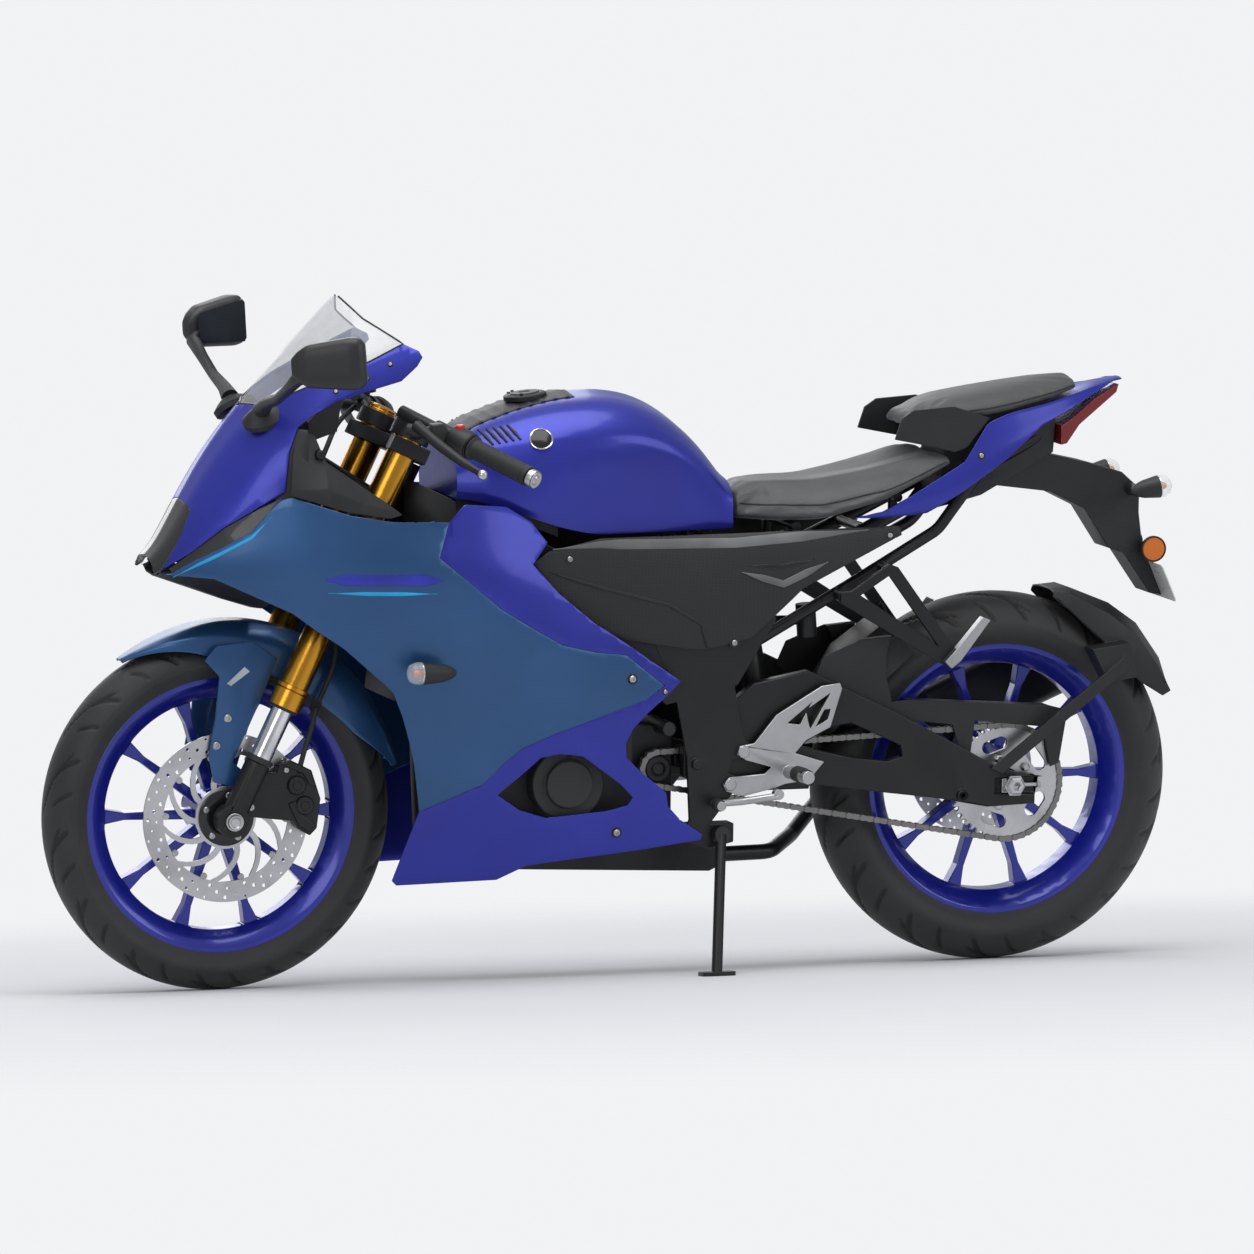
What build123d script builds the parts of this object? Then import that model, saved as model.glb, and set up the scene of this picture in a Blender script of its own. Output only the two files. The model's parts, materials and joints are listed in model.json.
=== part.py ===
"""A 150 cc class sport bike, parked on its side stand.

Everything is drawn upright: +X forward, +Y left, +Z up, with the origin on the ground between
the wheels.  The last section leans the whole bike on its stand and writes one file per node.
"""

import math
import os

from build123d import *

os.makedirs("parts", exist_ok=True)

# ---------------------------------------------------------------- driving dimensions, in mm
wheelbase = 1360
lean = 7.0  # degrees to the left, on the side stand
caster = 25.5  # degrees
fork_offset = 40  # steering axis to the line of the fork legs
leg_spread = 95  # centre plane to a fork leg

front_tyre_radius = 296
front_tyre_width = 100
front_crown_radius = 52
rear_tyre_radius = 314
rear_tyre_width = 140
rear_crown_radius = 74
front_rim_width = 72
rear_rim_width = 104
flange_radius = 231
bead_radius = 219
well_radius = 200
spoke_count = 10

panel_wall = 3.5
panel_gap = 0.6
seat_gap = 0.3

front_disc_radius = 141
rear_disc_radius = 110
disc_wall = 4.5
disc_line = 61  # centre plane to a brake disc
drive_teeth = 14
wheel_teeth = 48
chain_pitch = 12.7
chain_line = 88  # centre plane to the chain
chain_width = 14
plate_height = 11.4
plate_waist = 8.0
chain_plate = 2.8
roller_radius = 4.2
tooth_tip = 2.4
roller_play = 0.6

pivot_x = -114
pivot_z = 370
drive_x = -62
drive_z = 357
arm_inner = 101
arm_wall = 22
plate_wall = 9

outer_tube_radius = 25
slider_radius = 18.5
axle_radius = 8.5
axle_bore = 6.0
bar_radius = 11

# ---------------------------------------------------------------- places worked out from them
lean_angle = math.radians(lean)
ground_slope = math.tan(lean_angle)  # the ground climbs to the left in the bike's own frame
sag = 1 / math.cos(lean_angle) - 1
front_x = wheelbase / 2
front_z = front_tyre_radius + front_crown_radius * sag
rear_x = -wheelbase / 2
rear_z = rear_tyre_radius + rear_crown_radius * sag
arm_outer = arm_inner + arm_wall
drive_radius = chain_pitch / (2 * math.sin(math.pi / drive_teeth))
wheel_pitch_radius = chain_pitch / (2 * math.sin(math.pi / wheel_teeth))

rake = math.radians(caster)
steer_up = Vector(-math.sin(rake), 0, math.cos(rake))
steer_ahead = Vector(math.cos(rake), 0, math.sin(rake))
front_axle_point = Vector(front_x, 0, front_z)
stem_plane = Plane(front_axle_point - steer_ahead * fork_offset, steer_ahead, steer_up)
left_leg_plane = Plane(front_axle_point + Vector(0, leg_spread, 0), steer_ahead, steer_up)

nodes = []


def finish(part, label):
    """Names a piece as a node and keeps it for the export."""
    part.label = label
    nodes.append(part)


def both_sides(part):
    """A left piece with its mirror image, as one node of separate solids."""
    return Compound([*part.solids(), *mirror(part, Plane.XZ).solids()])


def inset(points, wall, centred):
    """An open section moved in by the wall, along its own normals."""
    moved = []
    last = len(points) - 1
    for index, (y, z) in enumerate(points):
        before = points[max(index - 1, 0)]
        after = points[min(index + 1, last)]
        run = math.hypot(after[0] - before[0], after[1] - before[1])
        moved.append((y + (after[1] - before[1]) / run * wall, z - (after[0] - before[0]) / run * wall))
    if centred:
        moved[0] = (0, points[0][1] - wall)
    return moved


def skin(stations, wall=panel_wall, centred=False):
    """A thin wall whose outer face passes the open (y, z) sections, listed as (x, section)."""
    with BuildPart() as sheet:
        for x, section in stations:
            with BuildSketch(Plane.YZ.offset(x)):
                Polygon(*section, *reversed(inset(section, wall, centred)), align=None)
        loft(ruled=True)
    return sheet.part


def shrunk(outline, amount):
    """A closed outline moved in by an amount, with each corner kept sharp."""
    count = len(outline)
    crossed = [
        outline[index - 1][0] * outline[index][1] - outline[index][0] * outline[index - 1][1]
        for index in range(count)
    ]
    inward = amount if sum(crossed) > 0 else -amount
    moved = []
    for index, (x, z) in enumerate(outline):
        before, after = outline[index - 1], outline[(index + 1) % count]
        came = Vector(x - before[0], z - before[1]).normalized()
        goes = Vector(after[0] - x, after[1] - z).normalized()
        middle = Vector(-came.Y - goes.Y, came.X + goes.X)
        share = inward * 2 / max(middle.dot(middle), 0.25)
        moved.append((x + middle.X * share, z + middle.Y * share))
    return moved


def side_prism(outline, near, far, shrink=0.0):
    """A side-view (x, z) outline standing between two distances left of the centre plane."""
    with BuildPart() as prism:
        with BuildSketch(Plane.XZ.offset(-far)):
            Polygon(*shrunk(outline, shrink), align=None)
        extrude(amount=far - near)
    return prism.part


def trimmed(sheet, outline, window=None):
    """What a side-view outline keeps of a left skin, less half the gap to its neighbours."""
    reach = 400
    kept = sheet & side_prism(outline, -0.01, reach, panel_gap / 2)
    if window:
        kept = kept - side_prism(window, -reach, reach)
    return kept


def rod(start, end, radius, bore=0.0):
    """A straight round rod or tube between two points."""
    run = Vector(*end) - Vector(*start)
    with BuildPart() as bar:
        with BuildSketch(Plane(origin=Vector(*start), z_dir=run)):
            Circle(radius)
            if bore:
                Circle(bore, mode=Mode.SUBTRACT)
        extrude(amount=run.length)
    return bar.part


def bent_tube(points, radius, bend, bore=0.0):
    """A round tube along straight runs joined by tangent arcs."""
    with BuildPart() as pipe:
        with BuildLine() as route:
            FilletPolyline(*points, radius=bend)
        with BuildSketch(Plane(origin=route.line @ 0, z_dir=route.line % 0)):
            Circle(radius)
            if bore:
                Circle(bore, mode=Mode.SUBTRACT)
        sweep()
    return pipe.part


def turned(profile, axis_origin):
    """A ring turned about a wheel's axle from a closed (y, radius) profile."""
    with BuildPart() as ring:
        with BuildSketch(Plane.YZ):
            Polygon(*profile, align=None)
        revolve(axis=Axis.Y)
    return ring.part.moved(Location(axis_origin))


# ---------------------------------------------------------------- tyres
def tyre(radius, width, crown, rim_width, centre):
    """A tyre with a round crown, whose beads sit between the rim's flanges."""
    half = width / 2
    bead = rim_width / 2 - 6 - seat_gap
    seat = bead_radius + seat_gap
    shoulder = radius - crown * 0.62
    side = [
        (bead, seat),
        (bead, flange_radius + 2),
        (half * 0.94, (flange_radius + shoulder) / 2),
        (half, shoulder),
        (half * 0.82, radius - crown * 0.3),
        (half * 0.45, radius - crown * 0.08),
    ]
    lining = [(bead - 8, seat), (half * 0.72, shoulder - 4)]
    outside = [*side, (0, radius), *[(-y, r) for y, r in reversed(side)]]
    inside = [*[(-y, r) for y, r in lining], (0, radius - 13), *reversed(lining)]
    return turned([*outside, *inside], centre)


front_centre = (front_x, 0, front_z)
rear_centre = (rear_x, 0, rear_z)
front_tyre = tyre(front_tyre_radius, front_tyre_width, front_crown_radius, front_rim_width, front_centre)
finish(front_tyre, "front_tyre")
rear_tyre = tyre(rear_tyre_radius, rear_tyre_width, rear_crown_radius, rear_rim_width, rear_centre)
finish(rear_tyre, "rear_tyre")


# ---------------------------------------------------------------- cast wheels
def wheel(rim_width, hub_radius, hub_left, hub_right, bore, centre):
    """A cast wheel: dropped-centre rim, hub and slim spokes that widen at the rim."""
    half = rim_width / 2
    rim = [
        (half, flange_radius),
        (half - 6, flange_radius),
        (half - 6, bead_radius),
        (half * 0.62, bead_radius - 2),
        (half * 0.35, well_radius),
    ]
    under = [(half, flange_radius - 9), (half * 0.8, bead_radius - 9), (half * 0.4, well_radius - 6)]
    outside = [*rim, *[(-y, r) for y, r in reversed(rim)]]
    inside = [*[(-y, r) for y, r in under], *reversed(under)]
    spoke_half = 9
    with BuildPart() as casting:
        with BuildSketch(Plane.YZ):
            Polygon(*outside, *inside, align=None)
        revolve(axis=Axis.Y)
        with BuildSketch(Plane.XZ.offset(-hub_left)):
            Circle(hub_radius)
        extrude(amount=hub_left + hub_right)
        with BuildSketch(Plane.XZ.offset(-13)):
            with PolarLocations(0, spoke_count):
                Polygon(
                    (hub_radius - 5, -spoke_half),
                    (well_radius - 40, -spoke_half + 3),
                    (well_radius - 3, -spoke_half - 4),
                    (well_radius - 3, spoke_half + 4),
                    (well_radius - 40, spoke_half - 3),
                    (hub_radius - 5, spoke_half),
                    align=None,
                )
        extrude(amount=26)
        with BuildSketch(Plane.XZ.offset(-hub_left)):
            Circle(bore)
        extrude(amount=hub_left + hub_right, mode=Mode.SUBTRACT)
    return casting.part.moved(Location(centre))


front_hub = disc_line - disc_wall / 2 - seat_gap
finish(wheel(front_rim_width, 44, front_hub, 52, axle_radius + seat_gap, front_centre), "front_wheel")
sprocket_wall = 7
rear_hub = chain_line - sprocket_wall / 2 - seat_gap
rear_disc_line = 82
rear_hub_right = rear_disc_line - disc_wall / 2 - seat_gap
finish(wheel(rear_rim_width, 52, rear_hub, rear_hub_right, axle_radius + seat_gap, rear_centre), "rear_wheel")


def disc(radius, ring, arms, hub_hole, line, centre):
    """A drilled brake disc on its carrier, flat against the hub."""
    holes_radius = radius - ring * 0.5
    with BuildPart() as plate:
        with BuildSketch(Plane.XZ.offset(-line - disc_wall / 2)):
            Circle(radius)
            Circle(radius - ring, mode=Mode.SUBTRACT)
            with PolarLocations(0, arms):
                Rectangle(radius - ring + 3, 14, align=(Align.MIN, Align.CENTER))
            Circle(hub_hole + 24)
            Circle(hub_hole, mode=Mode.SUBTRACT)
            with PolarLocations(holes_radius, 20):
                Circle(4, mode=Mode.SUBTRACT)
        extrude(amount=disc_wall)
    return plate.part.moved(Location(centre))


finish(disc(front_disc_radius, 34, 10, 22, disc_line, front_centre), "front_disc")
finish(disc(rear_disc_radius, 30, 5, 24, -rear_disc_line, rear_centre), "rear_disc")


# ---------------------------------------------------------------- chain and sprocket
def sprocket_outline(teeth, root, tip):
    """Straight-sided teeth around a pitch circle, as polygon corners."""
    corners = []
    for tooth in range(teeth):
        for part_of_pitch, reach in ((-0.30, root), (-0.12, tip), (0.12, tip), (0.30, root)):
            turn = 2 * math.pi * (tooth + part_of_pitch) / teeth
            corners.append((reach * math.cos(turn), reach * math.sin(turn)))
    return corners


sprocket_root = wheel_pitch_radius - 4.6
sprocket_tip = wheel_pitch_radius + tooth_tip
with BuildPart() as sprocket:
    with BuildSketch(Plane.XZ.offset(-chain_line - sprocket_wall / 2)):
        Polygon(*sprocket_outline(wheel_teeth, sprocket_root, sprocket_tip), align=None)
        Circle(24, mode=Mode.SUBTRACT)
        with PolarLocations(66, 5):
            SlotCenterToCenter(24, 22, rotation=90, mode=Mode.SUBTRACT)
    extrude(amount=sprocket_wall)
finish(sprocket.part.moved(Location(rear_centre)), "rear_sprocket")

# The chain is one closed band on its pitch line, waisted between each pair of pins.
run_x = drive_x - rear_x
run_z = drive_z - rear_z
centre_distance = math.hypot(run_x, run_z)
run_turn = math.atan2(run_z, run_x)
wrap_turn = math.asin((wheel_pitch_radius - drive_radius) / centre_distance)
straight = centre_distance * math.cos(wrap_turn)
wheel_wrap = (math.pi + 2 * wrap_turn) * wheel_pitch_radius
drive_wrap = (math.pi - 2 * wrap_turn) * drive_radius
chain_length = 2 * straight + wheel_wrap + drive_wrap
link_count = 2 * round(chain_length / chain_pitch / 2)


def on_chain(distance, out):
    """The (x, z) point at a distance along the pitch line, moved outwards from it."""
    distance = distance % chain_length
    if distance < wheel_wrap:
        turn = run_turn + math.pi / 2 - wrap_turn + distance / wheel_pitch_radius
        reach = wheel_pitch_radius + out
        return rear_x + reach * math.cos(turn), rear_z + reach * math.sin(turn)
    distance -= wheel_wrap
    low_turn = run_turn - math.pi / 2 + wrap_turn
    if distance < straight:
        x = rear_x + (wheel_pitch_radius + out) * math.cos(low_turn)
        z = rear_z + (wheel_pitch_radius + out) * math.sin(low_turn)
        return x - distance * math.sin(low_turn), z + distance * math.cos(low_turn)
    distance -= straight
    if distance < drive_wrap:
        turn = low_turn + distance / drive_radius
        reach = drive_radius + out
        return drive_x + reach * math.cos(turn), drive_z + reach * math.sin(turn)
    distance -= drive_wrap
    top_turn = run_turn + math.pi / 2 - wrap_turn
    x = drive_x + (drive_radius + out) * math.cos(top_turn)
    z = drive_z + (drive_radius + out) * math.sin(top_turn)
    return x - distance * math.sin(top_turn), z + distance * math.cos(top_turn)


def chain_loop(parts_of_link, start):
    """A closed wire along the chain from (share of a link, distance out) steps."""
    step = chain_length / link_count
    corners = []
    for link in range(link_count):
        for share, out in parts_of_link:
            x, z = on_chain((link + share) * step, out)
            corners.append((x, start, z))
    return Wire.make_polygon(corners, close=True)


def plate_band(start):
    """One row of chain plates: full height at each pin, waisted between pins."""
    outer = chain_loop(((0, plate_height / 2), (0.5, plate_waist / 2)), start)
    inner = chain_loop(((0, -plate_height / 2), (0.5, -plate_waist / 2)), start)
    return extrude(Face(outer, [inner]), amount=chain_plate, dir=(0, 1, 0))


def over_teeth(distance):
    """How far out of the pitch line the sprocket's teeth reach at a place on the chain."""
    distance = distance % chain_length
    past = 0.0 if distance < wheel_wrap else min(distance - wheel_wrap, chain_length - distance)
    reach = wheel_pitch_radius + tooth_tip + roller_play
    return math.sqrt(max(reach**2 - past**2, 0.0)) - wheel_pitch_radius


def roller_band():
    """The rollers' band between the plates, thinned over the teeth that it wraps."""
    start = chain_line - chain_width / 2 + chain_plate + roller_play / 5
    outer, inner = [], []
    for link in range(link_count):
        distance = link * chain_length / link_count
        x, z = on_chain(distance, roller_radius)
        outer.append((x, start, z))
        x, z = on_chain(distance, max(over_teeth(distance), -roller_radius))
        inner.append((x, start, z))
    face = Face(Wire.make_polygon(outer, close=True), [Wire.make_polygon(inner, close=True)])
    return extrude(face, amount=chain_width - 2 * chain_plate - roller_play / 2.5, dir=(0, 1, 0))


bands = [
    plate_band(chain_line - chain_width / 2),
    roller_band(),
    plate_band(chain_line + chain_width / 2 - chain_plate),
]
finish(Compound([band.solid() for band in bands]), "chain")

# ---------------------------------------------------------------- front axle and fork
lug_inner = leg_spread - 19
axle_half = leg_spread + 24
with BuildPart() as front_axle:
    with BuildSketch(Plane.XZ.offset(-axle_half)):
        with Locations((front_x, front_z)):
            Circle(axle_radius)
            Circle(axle_bore, mode=Mode.SUBTRACT)
    extrude(amount=2 * axle_half)
    for line in (-axle_half, axle_half - 7):
        with BuildSketch(Plane.XZ.offset(-line)):
            with Locations((front_x, front_z)):
                Circle(15)
                Circle(axle_bore, mode=Mode.SUBTRACT)
        extrude(amount=-7)
finish(front_axle.part, "front_axle")

slider_start = 105
outer_start = 205
outer_end = 722
with BuildPart() as slider:
    with BuildSketch(left_leg_plane.offset(slider_start)):
        Circle(slider_radius)
    extrude(amount=outer_start - slider_start)
finish(both_sides(slider.part), "fork_sliders")

with BuildPart() as outer_tube:
    with BuildSketch(left_leg_plane.offset(outer_start)):
        Circle(outer_tube_radius + 3)
    extrude(amount=30)
    with BuildSketch(left_leg_plane.offset(outer_start)):
        Circle(outer_tube_radius)
    extrude(amount=outer_end - outer_start)
finish(both_sides(outer_tube.part), "fork_tubes")

with BuildPart() as fork_lug:
    with BuildSketch(left_leg_plane.offset(-20)):
        Circle(21)
    extrude(amount=slider_start + 20 - seat_gap)
    with BuildSketch(Plane.XZ.offset(-leg_spread - 17)):
        with Locations((front_x, front_z)):
            Circle(27)
    extrude(amount=34)
    with BuildSketch(Plane.XZ.offset(-leg_spread - 17)):
        with Locations((front_x, front_z)):
            Circle(axle_radius + seat_gap)
    extrude(amount=40, mode=Mode.SUBTRACT)
    with BuildSketch(Plane.XZ.offset(-leg_spread - 17)):
        with Locations((front_x, front_z)):
            Circle(15.5)
    extrude(amount=-40, mode=Mode.SUBTRACT)
finish(both_sides(fork_lug.part), "fork_bottoms")

lower_clamp = 484
upper_clamp = 664
clamp_wall = 26
with BuildPart() as stem:
    for height in (lower_clamp, upper_clamp):
        with BuildSketch(stem_plane.offset(height)):
            Polygon(
                (-24, 28),
                (fork_offset - 34, leg_spread + 34),
                (fork_offset + 34, leg_spread + 34),
                (fork_offset + 20, leg_spread - 30),
                (24, 0),
                (fork_offset + 20, -leg_spread + 30),
                (fork_offset + 34, -leg_spread - 34),
                (fork_offset - 34, -leg_spread - 34),
                (-24, -28),
                align=None,
            )
            with Locations((fork_offset, leg_spread), (fork_offset, -leg_spread)):
                Circle(outer_tube_radius + seat_gap, mode=Mode.SUBTRACT)
        extrude(amount=clamp_wall)
    with BuildSketch(stem_plane.offset(lower_clamp)):
        Circle(14)
    extrude(amount=upper_clamp - lower_clamp + clamp_wall + 8)
finish(stem.part, "triple_clamps")

# ---------------------------------------------------------------- bars and controls
bar_root = left_leg_plane.offset(upper_clamp + clamp_wall + 2)
with BuildPart() as clip_on:
    with BuildSketch(bar_root):
        Circle(outer_tube_radius + 9)
        Circle(outer_tube_radius + seat_gap, mode=Mode.SUBTRACT)
    extrude(amount=26)
bar_root_point = Vector(406, 132, 972)
bar_tip_point = Vector(252, 352, 884)
bar = rod(bar_root_point, bar_tip_point, bar_radius)
riser_foot = left_leg_plane.from_local_coords((0, outer_tube_radius + 10, upper_clamp + clamp_wall + 15))
riser = rod(riser_foot, bar_root_point + (bar_tip_point - bar_root_point) * 0.1, 12)
clamp_bore = rod(left_leg_plane.origin, left_leg_plane.from_local_coords((0, 0, 900)), outer_tube_radius + seat_gap)
bar_end = rod(bar_tip_point, bar_tip_point + (bar_tip_point - bar_root_point).normalized() * 12, 15)
handlebar = clip_on.part + (bar + riser - clamp_bore) + bar_end
finish(both_sides(handlebar), "handlebars")

def along_bar(start, end, radius):
    """A round piece between two shares of the bar's length."""
    run = bar_tip_point - bar_root_point
    return rod(bar_root_point + run * start, bar_root_point + run * end, radius)


grip = along_bar(0.555, 0.998, 16) - along_bar(0.5, 1.1, bar_radius + seat_gap)
finish(both_sides(grip), "grips")

pod = along_bar(0.4, 0.55, 21) - along_bar(0.3, 0.7, bar_radius + seat_gap)
switch_pods = both_sides(pod)

perch_ring = along_bar(0.27, 0.39, 16) - along_bar(0.1, 0.7, bar_radius + seat_gap)
perch_arm = rod((366, 206, 948), (400, 227, 946), 9) - along_bar(0.1, 0.9, 14)
lever_blade = bent_tube(((396, 214, 950), (379, 272, 928), (336, 352, 892)), 6, 40)
perch = perch_ring + perch_arm + lever_blade
finish(Compound([*switch_pods.solids(), *both_sides(perch).solids()]), "bar_controls")

# ---------------------------------------------------------------- front brake
with BuildPart() as caliper:
    with BuildSketch(Plane.XZ.offset(-disc_line - 26)):
        Polygon(
            (576, 392),
            (540, 374),
            (524, 326),
            (530, 277),
            (542, 265),
            (564, 278),
            (586, 321),
            (603, 352),
            (596, 384),
            align=None,
        )
    extrude(amount=52)
    with BuildSketch(Plane.XZ.offset(-disc_line - disc_wall / 2 - 1.5)):
        with Locations((front_x, front_z)):
            Circle(front_disc_radius + 3)
    extrude(amount=disc_wall + 3, mode=Mode.SUBTRACT)
leg_line = rod(left_leg_plane.from_local_coords((0, 0, -30)), left_leg_plane.from_local_coords((0, 0, 200)), 21.3)
caliper_lug = side_prism(((586, 372), (650, 372), (650, 300), (570, 290)), disc_line + 12, disc_line + 26)
finish(caliper.part + (caliper_lug - leg_line), "front_caliper")

# ---------------------------------------------------------------- front fender
def hooped(table, centre, wall):
    """A curved guard over a wheel: an arch with side skirts at each angle about the axle."""
    with BuildPart() as guard:
        for turn, half, reach, drop in table:
            turn_angle = math.radians(turn)
            outward = Vector(math.cos(turn_angle), 0, math.sin(turn_angle))
            hoop = Plane(Vector(*centre), x_dir=(0, 1, 0), z_dir=outward.cross(Vector(0, 1, 0)))
            flip = 1 if hoop.y_dir.dot(outward) > 0 else -1
            arch = [
                (-half, reach - drop),
                (-half * 0.94, reach - drop * 0.3),
                (-half * 0.5, reach),
                (half * 0.5, reach),
                (half * 0.94, reach - drop * 0.3),
                (half, reach - drop),
            ]
            lining = [(y * (1 - wall / half), r - wall) for y, r in arch]
            with BuildSketch(hoop):
                Polygon(*[(y, flip * r) for y, r in (*arch, *reversed(lining))], align=None)
        loft(ruled=True)
    return guard.part


fender_table = (
    # turn about the axle in degrees, half width, reach, depth of the side skirt
    (57, 14, 311, 6),
    (66, 38, 311, 12),
    (76, 56, 315, 30),
    (87, 58, 321, 58),
    (101, 62, 325, 76),
    (118, 63, 329, 84),
    (134, 62, 325, 80),
    (150, 58, 320, 62),
    (161, 50, 318, 30),
    (166, 38, 318, 14),
)
stay_far = leg_spread - 21 - seat_gap
stay_near = stay_far - 4.2
stay_outline = (
    (721, 560),
    (696, 533),
    (702, 461),
    (713, 401),
    (704, 357),
    (652, 345),
    (652, 374),
    (672, 389),
    (619, 504),
    (597, 560),
    (640, 590),
    (700, 584),
)
stay_root = ((716, 556), (700, 540), (640, 530), (606, 556), (640, 586), (700, 580))
fender_stay = side_prism(stay_outline, stay_near, stay_far) + side_prism(stay_root, 57, stay_near + 1)
fender_arch = hooped(fender_table, front_centre, panel_wall)
finish(fender_arch + fender_stay + mirror(fender_stay, Plane.XZ), "front_fender")

# ---------------------------------------------------------------- frame
head_low = stem_plane.offset(lower_clamp + clamp_wall + 2)
head_length = upper_clamp - lower_clamp - clamp_wall - 4
spar_table = (
    # x, inner y, outer y, low z, high z
    (372, 12, 40, 748, 852),
    (240, 74, 104, 690, 790),
    (60, 104, 128, 600, 700),
    (-60, arm_outer + 2, arm_outer + 2 + plate_wall, 470, 650),
    (-186, arm_outer + 2, arm_outer + 2 + plate_wall, 500, 650),
    (-252, arm_outer + 2, arm_outer + 2 + plate_wall, 608, 650),
)
with BuildPart() as spar:
    for x, inner_y, outer_y, low_z, high_z in spar_table:
        with BuildSketch(Plane.YZ.offset(x)):
            Polygon((inner_y, low_z), (outer_y, low_z), (outer_y, high_z), (inner_y, high_z), align=None)
    loft(ruled=True)
plate_near = arm_outer + 2
plate_far = plate_near + plate_wall
plate_outline = (
    (-30, 590),
    (-74, 500),
    (-98, 380),
    (-104, 276),
    (-92, 240),
    (-132, 238),
    (-142, 270),
    (-186, 326),
    (-188, 346),
    (-170, 352),
    (-178, 374),
    (-206, 378),
    (-212, 398),
    (-200, 408),
    (-193, 436),
    (-180, 500),
    (-190, 580),
)
frame_half = spar.part + side_prism(plate_outline, plate_near, plate_far)
with BuildPart() as head_tube:
    with BuildSketch(head_low):
        Circle(30)
        Circle(14 + seat_gap, mode=Mode.SUBTRACT)
    extrude(amount=head_length)
shock_top = Vector(-228, 0, 622)
tank_rest = Vector(-150, 0, 748.7)
cross_tubes = (
    # centre, half length, radius
    (Vector(-150, 0, 604), plate_near + 1, 16),
    (Vector(40, 0, 650), 114, 16),
    (shock_top, plate_near + 1, 9),
    (tank_rest, 66, 8),
    (Vector(pivot_x, 0, pivot_z), plate_far + 11, 9),
)
crossed = [rod(at - Vector(0, half, 0), at + Vector(0, half, 0), radius) for at, half, radius in cross_tubes]
uprights = (
    # low end, high end, radius
    ((-150, 50, 604), (-150, 50, 745), 8),
    ((236, 88, 770), (236, 88, 806), 8),
    ((150, 100, 665), (150, 180, 665), 8),
)
posts = [rod(low, high, radius) for low, high, radius in uprights]
stem_core = rod(stem_plane.from_local_coords((0, 0, 480)), stem_plane.from_local_coords((0, 0, 720)), 14.3)
frame_half = frame_half + posts[0] + posts[1] + posts[2]
nose_stay = rod((416, 0, 822), (548, 0, 905), 10) + rod((548, -153, 905), (548, 153, 905), 8)
frame_body = frame_half + mirror(frame_half, Plane.XZ) - stem_core
frame_body = frame_body + (head_tube.part + nose_stay - stem_core)
for tube in crossed:
    frame_body = frame_body + tube
stand_boss = side_prism(((-182, 268), (-96, 268), (-96, 240), (-140, 226), (-182, 236)), arm_outer - 24, arm_outer + 11)
finish(frame_body + stand_boss, "frame")

rail = bent_tube(((-170, 60, 632), (-420, 66, 742), (-640, 60, 850), (-760, 44, 902)), 12, 60)
lower_rail = bent_tube(((-186, 100, 545), (-400, 78, 656), (-560, 66, 744), (-640, 60, 846)), 10, 60)
lug_reach = 121.7
half_frame = rail + lower_rail
subframe_rods = (
    # start, end, radius
    ((-376, 76, 642), (-376, lug_reach, 640), 10),
    ((-456, 74, 686), (-456, lug_reach, 684), 10),
    ((-300, 62, 690), (-300, 62, 752), 8),
    ((-480, 62, 772), (-480, 62, 800), 8),
    ((-186, 100, 545), (-186, plate_near - seat_gap, 545), 12),
)
for start, end, radius in subframe_rods:
    half_frame = half_frame + rod(start, end, radius)
rail_ties = (
    rod((-430, -70, 748), (-430, 70, 748), 9)
    + rod((-700, -56, 876), (-700, 56, 876), 9)
    + rod((-300, -90, 758.5), (-300, 90, 758.5), 8)
    + rod((-480, -90, 802.5), (-480, 90, 802.5), 8)
)
tail_rails = rail + mirror(rail, Plane.XZ) + lower_rail + mirror(lower_rail, Plane.XZ)
finish(half_frame + mirror(half_frame, Plane.XZ) + rail_ties, "subframe")

# ---------------------------------------------------------------- engine, radiator and exhaust
engine_half = 104
crankcase = side_prism(
    ((-12, 236), (236, 236), (262, 270), (262, 400), (200, 430), (-12, 430)), -engine_half, engine_half
)
gearbox = side_prism(((-92, 262), (-60, 236), (-12, 236), (-12, 434), (-92, 424)), -engine_half, chain_line - 16)
cylinder = side_prism(((60, 430), (196, 430), (262, 620), (236, 640), (120, 640), (96, 600)), -70, 70)
alternator = rod((112, engine_half, 345), (112, engine_half + 38, 345), 62) + rod(
    (112, engine_half + 38, 345), (112, engine_half + 48, 345), 40
)
clutch = rod((70, -engine_half, 340), (70, -engine_half - 36, 340), 72)
output_shaft = rod((drive_x, 60, drive_z), (drive_x, chain_line + 4, drive_z), 11)
drive_sprocket = rod((drive_x, chain_line - 3, drive_z), (drive_x, chain_line + 3, drive_z), drive_radius - 6.5)
engine_lug = rod((-70, -plate_near + seat_gap, 428), (-70, plate_near - seat_gap, 428), 12)
lower_lug = rod((-78, -plate_near + seat_gap, 262), (-78, plate_near - seat_gap, 262), 11)
cylinder = cylinder + engine_lug + lower_lug
finish(crankcase + gearbox + cylinder + alternator + clutch + output_shaft + drive_sprocket, "engine")

radiator_core = side_prism(((340, 680), (362, 684), (388, 480), (366, 476)), -120, 120)
radiator_ear = side_prism(((342, 660), (354, 660), (352, 738.9), (339, 733.1)), 28, 36)
finish(radiator_core + radiator_ear + mirror(radiator_ear, Plane.XZ), "radiator")

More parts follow.
